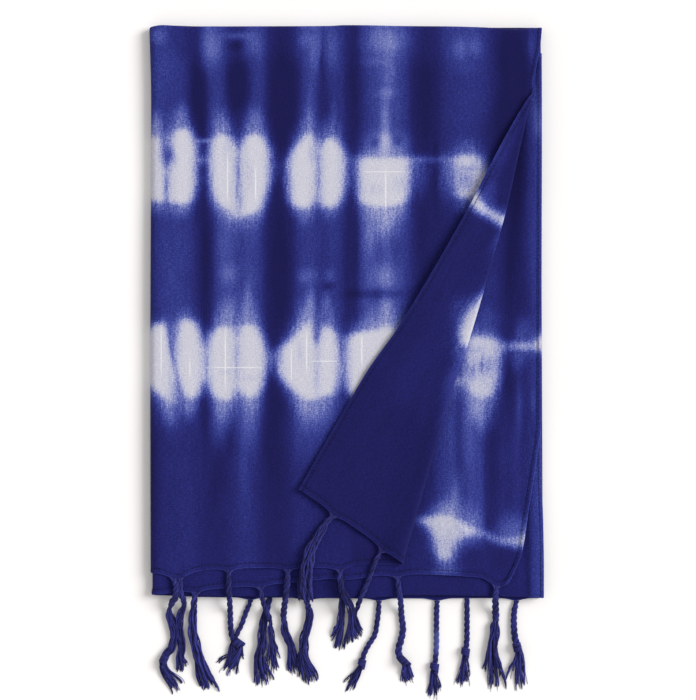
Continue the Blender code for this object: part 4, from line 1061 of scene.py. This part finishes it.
def stitch_run(yarns, us, vs, lifts):
    """Stitches along a line of the cloth, on its face and on its reverse."""
    points = place(us, vs)
    square = facing(us, vs)
    steps = np.linalg.norm(np.diff(points, axis=0), axis=1)
    length = np.concatenate(([0], np.cumsum(steps)))
    for start in np.arange(STITCH_PITCH, length[-1] - STITCH_PITCH, STITCH_PITCH):
        marks = start + STITCH_LENGTH * np.array([bend.along for bend in STITCH_BENDS])
        at = np.stack([np.interp(marks, length, points[:, i]) for i in range(3)], axis=-1)
        out = np.stack([np.interp(marks, length, square[:, i]) for i in range(3)], axis=-1)
        for lift, sign in lifts:
            sink = np.array([bend.sink for bend in STITCH_BENDS]) * STITCH_RADIUS * sign
            yarns.add(at + out * (lift - sink[:, None]), STITCH_RADIUS, STITCH_SIDES, out[0])


def make_stitches(look):
    yarns = Yarns()
    turned = next(point.lift for point in HEM_TURNED if point.share == STITCH_INWARD)
    face = next(point.lift for point in HEM_FACE if point.share == STITCH_INWARD)
    lifts = ((2 * HEM_RADIUS + turned, 1), (face, -1))
    inward = STITCH_INWARD * END_HEM / PANEL_LENGTH
    for first, last in ((inward, 1.0), (6.0, LAST_LINE - inward)):
        for side in (1, -1):
            vs = np.linspace(first + STITCHES_START, last - STITCHES_START, SIDE_SAMPLES)
            inward_share = [
                STITCH_INWARD * SIDE_HEM / np.ptp(ends_at(v, side * UNDER_RIGHT_EDGE)) for v in vs
            ]
            us = side * (2 - np.array(inward_share))
            stitch_run(yarns, us, vs, lifts)
    for v in (inward, LAST_LINE - inward):
        hem = 2 - STITCHES_START_ACROSS
        for first, last in ((-hem, -1.0), (1.0, hem)):
            us = np.linspace(first, last, END_SAMPLES)
            stitch_run(yarns, us, np.full(len(us), v), lifts)
    return yarns.build("stole_stitches", look)


def bed_height(depth, across, down, over):
    """The height of what lies on a layer above the floor."""
    flat = MIDDLE + (DEEPEST + 0.5 - depth) * PITCH
    return flat + swelling(depth, across, down) + HEM_RADIUS + BED_GAP + over


def beds(tassel, root):
    """The edges that a tassel passes over on its way down: (where, the layer above, the run down)."""
    if tassel.across < 0:
        return []
    passed = []
    outer, inner = float(hem_at("outer", root[0])), float(hem_at("inner", root[0]))
    if tassel.hem == "outer" and root[1] < outer - 2 * STRIP_WIDTH:
        passed.append((outer, 0, SHORT_FALL))
    if tassel.hem == "outer":
        passed.append((inner, 1, SHORT_FALL))
    passed.append((float(curve_at(BOTTOM_FOLD, root[0])), 2, tassel.fall))
    return passed


def underside(passed, across, down, over):
    """The height of what carries a tassel above the floor."""
    height = np.zeros_like(down)
    for edge, depth, run in reversed(passed):
        left = smooth((down - edge - OVERHANG) / run)
        height = height * left + bed_height(depth, across, down, over) * (1 - left)
    return height


def curve_through(points, count):
    """A smooth curve through points of the plan, as evenly spaced places and their directions."""
    points = np.asarray(points, float)
    chords = np.concatenate(([0], np.cumsum(np.linalg.norm(np.diff(points, axis=0), axis=1))))
    tangents = np.gradient(points, chords, axis=0)
    at = np.linspace(0, chords[-1], count)
    i = np.clip(np.searchsorted(chords, at, side="right") - 1, 0, len(chords) - 2)
    h = (chords[i + 1] - chords[i])[:, None]
    t = ((at - chords[i])[:, None]) / h
    rise = t * t * (3 - 2 * t)
    bend = h * tangents[i] * t * (1 - t) ** 2 - h * tangents[i + 1] * t * t * (1 - t)
    places = points[i] * (1 - rise) + points[i + 1] * rise + bend
    ways = np.gradient(places, axis=0)
    return at, places, ways / np.linalg.norm(ways, axis=1, keepdims=True)


def add_tassel(yarns, tassel, look, seed):
    """Twisted plies of yarn from the hem to a knot, and their loose ends below it."""
    random = np.random.default_rng(seed)
    v_edge = 0.0 if tassel.hem == "outer" else LAST_LINE
    upper = tassel.across > 0
    v_root = abs(v_edge - (ROOT_BACK / PANEL_LENGTH if upper else 0.0))
    u_root = u_at(tassel.across, v_root)
    root = place(u_root, v_root)
    above_hem = 2 * HEM_RADIUS if facing(u_root, v_root)[2] > 0 else 0.0
    along_hem = place(u_root + ROOT_WAY, v_root) - place(u_root - ROOT_WAY, v_root)
    along_hem *= math.copysign(1, along_hem[0]) / np.linalg.norm(along_hem)
    passed = beds(tassel, root)
    route = np.array([(plan_across(x), plan_down(y)) for x, y in look.route])
    length = float(np.linalg.norm(np.diff(route, axis=0), axis=1).sum())
    run, middle, way = curve_through(route, int(length / YARN_STEP))
    middle = middle + (root[:2] - route[0]) * (1 - smooth(run / ROOT_JOINS))[:, None]
    side = np.stack((way[:, 1], -way[:, 0]), axis=-1)
    share = run / run[-1]
    width = FULLNESS * (look.width + (look.end_width - look.width) * share) * PIXEL
    at_root = 1 - smooth(run / ROOT_LENGTH)
    flatness = BODY_FLATNESS
    if not upper and tassel.hem == "outer":
        flatness = BODY_FLATNESS * (SQUEEZED_ROOT + (1 - SQUEEZED_ROOT) * smooth(run / ROOT_JOINS))
    low = underside(passed, middle[:, 0], middle[:, 1], tassel.over)
    loose = smooth((share - look.opens) / LOOSENS_OVER)
    total = PLIES * PLY_YARNS
    order = random.permutation(total)
    wobble = WOBBLE * np.sin(run / WOBBLE_LENGTH + random.uniform(0, ANY_TURN))
    radius = width * YARN_THICKNESS_SHARE
    strands = []
    for k in range(total):
        turn = 2 * math.pi * (run / TWIST_PITCH + (k % PLIES) / PLIES) + wobble
        inner_turn = YARN_TWIST * turn + 2 * math.pi * (k // PLIES) / PLY_YARNS
        across = width * (PLY_SHARE * np.cos(turn) + YARN_SHARE * np.cos(inner_turn))
        above = width * (PLY_SHARE * np.sin(turn) + YARN_SHARE * np.sin(inner_turn))
        lane = (order[k] + 0.5) / total * 2 - 1
        sway = sum(row.share * np.sin(run / row.length + order[k] * row.step) for row in SWAYS)
        loose_across = width * (LOOSE_WIDTH * lane + sway)
        rounded = LOOSE_HEIGHT * math.sqrt(1 - LOOSE_EDGE * lane * lane)
        loose_above = width * rounded * math.cos(order[k] * LOOSE_STEP)
        across = across * (1 - loose) + loose_across * loose
        above = (above * (1 - loose) + loose_above * loose) * flatness
        splay = (ROOT_SPLAY if upper else UNDER_ROOT_SPLAY) * (k / (total - 1) * 2 - 1)
        flat = middle + side * (across * (1 - at_root))[:, None]
        flat = flat + (at_root**2 * splay)[:, None] * along_hem[:2]
        rest = low + width * 0.5 * flatness + above
        level = root[2] + along_hem[2] * splay + above_hem + ROOT_RISES * radius[0]
        height = np.maximum(rest * (1 - at_root) + level * at_root, radius)
        strands.append((float(across[-1]), np.column_stack((flat, height)), radius))
    strands.sort(key=lambda strand: strand[0])
    add_tails(yarns, tassel, look, passed, strands, (middle[-1], way[-1], side[-1]), random)
    if look.knot:
        add_knot(yarns, look.knot * PIXEL, middle[-1], way[-1], side[-1], float(low[-1]), float(width[-1]))


def add_tails(yarns, tassel, look, passed, strands, end, random):
    """The loose ends of a tassel: yarns that run on to its tips, with finer threads beside."""
    middle, way, side = end
    tips = np.array([(plan_across(x), plan_down(y)) for x, y in look.tips])
    tips = tips[np.argsort((tips - middle) @ side)]
    share = np.linspace(0, 1, TAIL_STEPS)[1:, None]
    for number in range(len(strands) + THIN_YARNS):
        thin = number >= len(strands)
        rank = int(random.integers(len(strands))) if thin else number
        _, path, radius = strands[rank]
        start = path[-1]
        lock = rank / (len(strands) - 1) * (len(tips) - 1)
        first_lock = min(int(lock), len(tips) - 2)
        toward = smooth((lock - first_lock - 0.5) * LOCK_EDGE + 0.5)
        tip = tips[first_lock] * (1 - toward) + tips[first_lock + 1] * toward
        tip = tip + random.normal(0, TIP_SCATTER, 2)
        if not thin:
            tip = tip + (middle - tip) * random.uniform(0, TAIL_SHORTER)
        reach = np.linalg.norm(tip - start[:2])
        first = start[:2] + (way + side * random.normal(0, TAIL_SPREAD)) * TAIL_STARTS * reach
        arrives = TAIL_FOLLOWS * way + (1 - TAIL_FOLLOWS) * (tip - start[:2]) / reach
        last = tip - arrives * TAIL_ENDS * reach + random.normal(0, BEND_SCATTER, 2)
        route = start[:2] * (1 - share) ** 3 + 3 * first * share * (1 - share) ** 2
        route = route + 3 * last * share**2 * (1 - share) + tip * share**3
        curl = random.uniform(*TAIL_CURL)
        turns = share * random.uniform(*TAIL_CURLS) + random.uniform(0, ANY_TURN)
        route = route + side * curl * np.sin(turns) * share
        end_radius = THIN_RADIUS if thin else float(radius[-1])
        swollen = TUFT_SWELLS * np.sin(math.pi * share[:, 0])
        radii = end_radius * (1 + swollen - TUFT_TAPER * share[:, 0])
        low = underside(passed, route[:, 0], route[:, 1], tassel.over)
        start_low = underside(passed, start[:1], start[1:2], tassel.over)
        above = (start[2] - start_low - end_radius) * (1 - share[:, 0]) ** TUFT_SINKS
        pile = random.uniform(0, TUFT_PILE) * np.sin(math.pi * share[:, 0])
        tail = np.column_stack((route, low + np.maximum(above + pile, 0) + radii))
        if thin:
            yarns.add(np.vstack((start, tail)), np.concatenate(([end_radius], radii)), THIN_SIDES)
        else:
            yarns.add(np.vstack((path, tail)), np.concatenate((radius, radii)), YARN_SIDES)


def add_knot(yarns, knot_width, middle, way, side, low, width):
    """A few yarns wound round the strand, slantwise."""
    side = np.append(side, 0.0)
    way = np.append(way, 0.0)
    yarn = width * YARN_THICKNESS_SHARE * WRAP_RADIUS
    reach = KNOT_FULLNESS * knot_width / 2 - yarn
    rise = width * 0.5 * BODY_FLATNESS + yarn * WRAP_CLEARANCE
    share = np.linspace(0, 1, WRAP_STEPS)
    angles = math.pi * (WRAP_START + 2 * WRAP_TURNS * share)
    for k in range(WRAP_YARNS):
        offset = (k - (WRAP_YARNS - 1) / 2) * yarn * WRAP_PITCH
        drift = (share - 0.5) * yarn * WRAP_DRIFT
        slant = WRAP_SLANT * reach * np.cos(angles)
        path = np.append(middle, low + rise) + (offset + drift + slant)[:, None] * way
        path = path + (reach * np.cos(angles))[:, None] * side
        path[:, 2] += np.maximum(rise * np.sin(angles), yarn - rise) + WRAP_RISE * yarn * share
        yarns.add(path, yarn, YARN_SIDES, way)


def make_fringe(hem, name, look):
    yarns = Yarns()
    looks = {row.name: row for row in LOOKS}
    for number, tassel in enumerate(TASSELS):
        if tassel.hem == hem:
            add_tassel(yarns, tassel, looks[tassel.name], seed=FIRST_SEED + number)
    return yarns.build(name, look)


class Graph:
    """Makes the nodes of a material."""

    def __init__(self, name):
        self.material = bpy.data.materials.new(name)
        self.material.use_nodes = True
        self.tree = self.material.node_tree
        self.shader = self.tree.nodes["Principled BSDF"]

    def node(self, kind, inputs, **settings):
        made = self.tree.nodes.new("ShaderNode" + kind)
        for name, value in settings.items():
            setattr(made, name, value)
        for key, value in inputs.items():
            self.put(value, made.inputs[key])
        return made

    def put(self, value, socket):
        if isinstance(value, bpy.types.NodeSocket):
            self.tree.links.new(value, socket)
        else:
            socket.default_value = value

    def map(self, name):
        """The two numbers that a map of the mesh holds."""
        made = self.node("SeparateXYZ", {"Vector": self.node("UVMap", {}, uv_map=name).outputs[0]})
        return made.outputs[0], made.outputs[1]

    def math(self, operation, *values, clamp=False):
        made = self.node("Math", dict(enumerate(values)), operation=operation, use_clamp=clamp)
        return made.outputs[0]

    def vector(self, operation, *values):
        return self.node("VectorMath", dict(enumerate(values)), operation=operation).outputs[0]

    def bump(self, height, strength, distance):
        """Lets the light see a fine relief."""
        made = self.node("Bump", {"Height": height, "Strength": strength, "Distance": distance})
        self.put(made.outputs[0], self.shader.inputs["Normal"])

    def step(self, value, low, high, start=0.0, end=1.0):
        """A soft step between two values."""
        inputs = {"Value": value, "From Min": low, "From Max": high, "To Min": start, "To Max": end}
        return self.node("MapRange", inputs, interpolation_type="SMOOTHSTEP").outputs["Result"]

    def line(self, value, at, half_width):
        """1 on a line of a map, and 0 away from it."""
        away = self.math("ABSOLUTE", self.math("SUBTRACT", value, at))
        return self.step(away, 0.0, half_width, 1.0, 0.0)

    def noise(self, x, y, scales, detail=2.0, roughness=0.5):
        """Noise about 0, of one scale across and another along."""
        vector = self.node("CombineXYZ", {
            "X": self.math("MULTIPLY", x, scales[0]), "Y": self.math("MULTIPLY", y, scales[1]),
        }).outputs[0]
        inputs = {"Vector": vector, "Scale": 1.0, "Detail": detail, "Roughness": roughness}
        made = self.node("TexNoise", inputs, noise_dimensions="2D").outputs[0]
        return self.math("SUBTRACT", made, 0.5)

    def mixed(self, share, first, second):
        """A mix of two colours."""
        made = self.node("Mix", {"Factor": share}, data_type="RGBA")
        self.put(first, made.inputs[6])
        self.put(second, made.inputs[7])
        return made.outputs[2]


def linear(value):
    """A colour value as it looks, as a linear one."""
    return value / 12.92 if value <= 0.04045 else ((value + 0.055) / 1.055) ** 2.4


def colour(red, green, blue):
    return (linear(red), linear(green), linear(blue), 1.0)


# Noises of the cloth: how often they vary in a metre across and along, and their fine detail
NOISES = table("name across along detail roughness", (
    ("drift", 70, 26, 1.0, 0.5), ("streaks", 420, 60, 2.0, 0.6), ("warp", 1100, 300, 2.0, 0.6),
    ("weft", 300, 1100, 2.0, 0.6), ("grain", 820, 820, 2.0, 0.75),
))
GRAIN_SHARE = 1.5
EDGE_STREAKS = 1.5
EDGE_WEAVE = 0.65
GROUND_DRIFT = 0.14
GROUND_STREAKS = 0.22
GROUND_FLOOR = 0.16
WEAVE_HALF_DYED = 0.60
WEAVE_PLAIN = 0.045
WEAVE_TONE = 0.20
# Widths and strength of the paler rims along the hem edges: a painted highlight where light catches the
# rounded hems.
SIDE_HIGHLIGHT_RIM = 0.0011
END_HIGHLIGHT_RIM = 0.0014
RIM_HIGHLIGHT = 0.13
SLUB_STRENGTH = 0.85
SLUB_EDGES = (0.5, 1.3)
# Width, strength and dashes of the dark stitch lines: painted shade where the stitches sink into the cloth.
STITCH_LINE = 0.0010
STITCH_SHADE = 0.80
STITCH_DASH = 0.28
THREAD_PITCH = 0.00052
THREAD_RELIEF = 0.5
WEAVE_RELIEF = 1.6
CLOTH_BUMP = (0.6, 0.00022)
CLOTH_ROUGHNESS = (0.86, 0.16)
CLOTH_SHEEN = (0.04, 0.5)
CLOTH_SPECULAR = 0.10


def dyed_cloth():
    """Indigo cloth whose bound places stayed white."""
    graph = Graph("dyed_cloth")
    across, length = graph.map("flat")
    # The second number of the dye map is the paleness between the marks, which holds some painted shade and
    # highlight.
    marks, ground_and_painted_light = graph.map("dye")
    side_hem, end_hem = graph.map("hems")

    drift, streaks, warp, weft, grain = (
        graph.noise(across, length, (row.across, row.along), row.detail, row.roughness) for row in NOISES
    )
    woven = graph.math("ADD", graph.math("ADD", warp, weft), graph.math("MULTIPLY", grain, GRAIN_SHARE))

    edge = graph.math("MULTIPLY", marks, graph.math("SUBTRACT", 1.0, marks))
    ragged = graph.math("MULTIPLY", woven, EDGE_WEAVE)
    ragged = graph.math("MULTIPLY_ADD", streaks, EDGE_STREAKS, ragged)
    white = graph.math("MULTIPLY_ADD", edge, ragged, marks, clamp=True)
    clouds = graph.math("MULTIPLY", streaks, GROUND_STREAKS)
    clouds = graph.math("MULTIPLY_ADD", drift, GROUND_DRIFT, clouds)
    depth = graph.math("MULTIPLY_ADD", clouds, graph.math("ADD", ground_and_painted_light, GROUND_FLOOR), ground_and_painted_light)
    dyed = graph.math("SUBTRACT", 1.0, depth)
    pale = graph.math("SUBTRACT", 1.0, graph.math("MULTIPLY", graph.math("SUBTRACT", 1.0, white), dyed))
    half_dyed = graph.math("MULTIPLY", pale, graph.math("SUBTRACT", 1.0, pale))
    strength = graph.math("MULTIPLY_ADD", half_dyed, WEAVE_HALF_DYED, WEAVE_PLAIN)
    # Painted highlight: the cloth is made paler along the rounded edges of the hems.
    rim_highlight = graph.math("MAXIMUM", graph.line(side_hem, 0.0, SIDE_HIGHLIGHT_RIM), graph.line(end_hem, 0.0, END_HIGHLIGHT_RIM))
    pale = graph.math("MULTIPLY_ADD", rim_highlight, RIM_HIGHLIGHT, pale)
    pale = graph.math("MULTIPLY_ADD", woven, strength, pale, clamp=True)

    true_x = graph.math("MULTIPLY_ADD", graph.math("ABSOLUTE", across), 1 / PIXEL, LEFT_PIXEL)
    true_y = graph.math("MULTIPLY_ADD", graph.math("ABSOLUTE", length), 1 / PIXEL, TOP_PIXEL)
    here = graph.node("CombineXYZ", {"X": true_x, "Y": true_y}).outputs[0]
    slub = 0.0
    for bright in SLUBS:
        half = (1 / bright.half_width, 1 / bright.half_height, 1)
        away = graph.vector("SUBTRACT", here, (bright.x, bright.y, 0))
        away = graph.vector("ABSOLUTE", graph.vector("MULTIPLY", away, half))
        parts = graph.node("SeparateXYZ", {"Vector": away})
        outside = graph.math("MAXIMUM", parts.outputs[0], parts.outputs[1])
        slub = graph.math("MAXIMUM", slub, graph.step(outside, *SLUB_EDGES, 1.0, 0.0))
    slub = graph.math("MULTIPLY", slub, SLUB_STRENGTH)
    slub = graph.math("MULTIPLY", slub, graph.math("POWER", pale, 2.0))

    ramp = graph.node("ValToRGB", {"Fac": pale})
    stops = ramp.color_ramp.elements
    for shade in DYE_COLOURS[1:-1]:
        stops.new(shade.pale)
    for stop, shade in zip(stops, DYE_COLOURS):
        stop.color = colour(shade.red, shade.green, shade.blue)
    # Painted shade: dark dashes along the stitch lines of the hems, where the stitches sink into the cloth.
    along_hem = graph.math("ADD", across, length)
    dashes = graph.math("SINE", graph.math("MULTIPLY", along_hem, 2 * math.pi / STITCH_PITCH))
    stitch_dimple_shade = graph.math(
        "MAXIMUM",
        graph.line(side_hem, STITCH_INWARD * SIDE_HEM, STITCH_LINE),
        graph.line(end_hem, STITCH_INWARD * END_HEM, STITCH_LINE),
    )
    dashes = graph.math("MULTIPLY_ADD", dashes, STITCH_DASH, 1 - STITCH_DASH)
    stitch_dimple_shade = graph.math("MULTIPLY", stitch_dimple_shade, dashes)
    tone = graph.math("MULTIPLY_ADD", woven, WEAVE_TONE, 1.0)
    tone = graph.math("MULTIPLY_ADD", stitch_dimple_shade, -STITCH_SHADE, tone)
    toned = graph.node("VectorMath", {0: ramp.outputs["Color"], "Scale": tone}, operation="SCALE")
    blue = graph.mixed(slub, toned.outputs[0], colour(*SLUB_COLOUR))
    graph.put(blue, graph.shader.inputs["Base Color"])

    threads = [graph.math("MULTIPLY", part, 2 * math.pi / THREAD_PITCH) for part in (across, length)]
    relief = graph.math("MULTIPLY", *(graph.math("SINE", part) for part in threads))
    relief = graph.math("MULTIPLY", relief, THREAD_RELIEF)
    graph.bump(graph.math("MULTIPLY_ADD", woven, WEAVE_RELIEF, relief), *CLOTH_BUMP)
    rough, rougher = CLOTH_ROUGHNESS
    graph.put(graph.math("MULTIPLY_ADD", grain, rougher, rough), graph.shader.inputs["Roughness"])
    sheen, sheen_roughness = CLOTH_SHEEN
    graph.shader.inputs["Sheen Weight"].default_value = sheen
    graph.shader.inputs["Sheen Roughness"].default_value = sheen_roughness
    graph.shader.inputs["Specular IOR Level"].default_value = CLOTH_SPECULAR
    return graph.material


PALE_STRAND = (437, 642)
PALE_STRAND_HEIGHT = 0.002
PALE_STRAND_SIZE = (0.006, 0.012, 0.010)
PALE_STRAND_EDGES = (0.5, 1.2)
PALE_STRAND_WORN = 0.55
FIBRES_ALONG = 1100.0
FIBRES_ROUND = 4
YARN_STAIN_SCALES = (150.0, 1.0)
YARN_BASE = -0.10
OWN_TONE = 0.55
STAIN_TONE = 0.9
FIBRE_TONE = 0.40
YARN_BUMP = (0.5, 0.00015)
YARN_ROUGHNESS = (0.78, 0.2)
YARN_SHEEN = 0.05
YARN_SPECULAR = 0.14
YARN_DARK = colour(0.050, 0.044, 0.200)
YARN_LIGHT = colour(0.222, 0.232, 0.565)
YARN_WORN = colour(0.36, 0.40, 0.66)


def fringe_yarn():
    """Indigo yarn, each thread of its own tone, with fine fibres along it."""
    graph = Graph("fringe_yarn")
    length, around = graph.map("flat")
    number = graph.math("FLOOR", around)
    own = graph.node("TexWhiteNoise", {"W": number}, noise_dimensions="1D").outputs["Value"]
    stain = graph.noise(length, number, YARN_STAIN_SCALES, 2.0)
    round_yarn = graph.math("MULTIPLY", around, 2 * math.pi * FIBRES_ROUND / ROUND_A_YARN)
    strands = graph.math("MULTIPLY_ADD", length, FIBRES_ALONG, round_yarn)
    fibres = graph.math("MULTIPLY_ADD", graph.math("SINE", strands), 0.5, 0.5)
    tone = graph.math("MULTIPLY_ADD", stain, STAIN_TONE, YARN_BASE)
    tone = graph.math("MULTIPLY_ADD", own, OWN_TONE, tone)
    tone = graph.math("MULTIPLY_ADD", fibres, FIBRE_TONE, tone, clamp=True)
    here = graph.node("TexCoord", {}).outputs["Object"]
    pale_at = in_frame((plan_across(PALE_STRAND[0]), plan_down(PALE_STRAND[1]), PALE_STRAND_HEIGHT))
    away = graph.vector("DIVIDE", graph.vector("SUBTRACT", here, tuple(pale_at)), PALE_STRAND_SIZE)
    away = graph.node("VectorMath", {0: away}, operation="LENGTH").outputs["Value"]
    worn = graph.step(away, *PALE_STRAND_EDGES, PALE_STRAND_WORN, 0.0)
    blue = graph.mixed(tone, YARN_DARK, YARN_LIGHT)
    graph.put(graph.mixed(worn, blue, YARN_WORN), graph.shader.inputs["Base Color"])
    graph.bump(fibres, *YARN_BUMP)
    rough, rougher = YARN_ROUGHNESS
    graph.put(graph.math("MULTIPLY_ADD", stain, rougher, rough), graph.shader.inputs["Roughness"])
    graph.shader.inputs["Sheen Weight"].default_value = YARN_SHEEN
    graph.shader.inputs["Specular IOR Level"].default_value = YARN_SPECULAR
    return graph.material


# The set: a pale floor, soft light and a camera straight above
FLOOR_HALF = 3.0
FLOOR_SCALE = 6.0
FLOOR_ROUGHNESS = 0.9
FLOOR_COLOURS = (colour(0.928, 0.922, 0.918), colour(0.934, 0.930, 0.926))
CAMERA_HEIGHT = 3.2
CAMERA_SENSOR = 36.0
SHEET_HEIGHT = 0.010
KEY_FROM = (1.25, 0.42, 1.05)
KEY_STRENGTH = 2.85
KEY_ANGLE = math.radians(32)
WORLD_LIGHT = 0.69
WORLD_COLOUR = (1.0, 0.975, 0.962, 1.0)


def make_floor():
    graph = Graph("floor")
    here = graph.node("TexCoord", {}).outputs["Object"]
    soft = graph.node("TexNoise", {"Vector": here, "Scale": FLOOR_SCALE}).outputs[0]
    graph.put(graph.mixed(soft, *FLOOR_COLOURS), graph.shader.inputs["Base Color"])
    graph.shader.inputs["Roughness"].default_value = FLOOR_ROUGHNESS
    corners = np.array([(-1, -1, 0), (1, -1, 0), (1, 1, 0), (-1, 1, 0)]) * FLOOR_HALF
    floor = mesh_object("floor", corners, [(0, 1, 2, 3)], {"flat": corners[:, :2]}, graph.material)
    return floor


def light_scene():
    data = bpy.data.lights.new("key", "SUN")
    data.energy = KEY_STRENGTH
    data.angle = KEY_ANGLE
    key = bpy.data.objects.new("key", data)
    key.location = KEY_FROM
    key.rotation_euler = (-key.location).to_track_quat("-Z", "Y").to_euler()
    bpy.context.scene.collection.objects.link(key)
    world = bpy.data.worlds.new("studio")
    world.use_nodes = True
    world.node_tree.nodes["Background"].inputs["Color"].default_value = WORLD_COLOUR
    world.node_tree.nodes["Background"].inputs["Strength"].default_value = WORLD_LIGHT
    bpy.context.scene.world = world


def add_camera():
    """A camera straight above, whose picture has the photograph's scale and middle."""
    data = bpy.data.cameras.new("camera")
    data.sensor_fit = "HORIZONTAL"
    data.sensor_width = CAMERA_SENSOR
    data.lens = CAMERA_SENSOR * (CAMERA_HEIGHT - SHEET_HEIGHT) / (PHOTO_WIDTH * PIXEL)
    camera = bpy.data.objects.new("camera", data)
    middle = (plan_across(PHOTO_WIDTH / 2), plan_down(PHOTO_HEIGHT / 2), CAMERA_HEIGHT)
    camera.location = in_frame(middle)
    bpy.context.scene.collection.objects.link(camera)
    bpy.context.scene.camera = camera
    bpy.context.scene.view_settings.view_transform = "Standard"


def plain(bounds):
    """A box as plain lists of numbers."""
    return [[float(value) for value in corner] for corner in bounds]


def main():
    for old in list(bpy.data.objects):
        bpy.data.objects.remove(old)
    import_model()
    add_camera()
    cloth_look = dyed_cloth()
    yarn_look = fringe_yarn()
    cloth = make_cloth(cloth_look)
    stitches = make_stitches(yarn_look)
    outer_fringe = make_fringe("outer", "outer_tassels", yarn_look)
    inner_fringe = make_fringe("inner", "inner_tassels", yarn_look)
    for piece in (cloth, stitches, outer_fringe, inner_fringe):
        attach(piece, "root")
    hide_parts("stole")
    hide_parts("fringe_outer")
    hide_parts("fringe_inner")
    floor = make_floor()
    light_scene()


main()
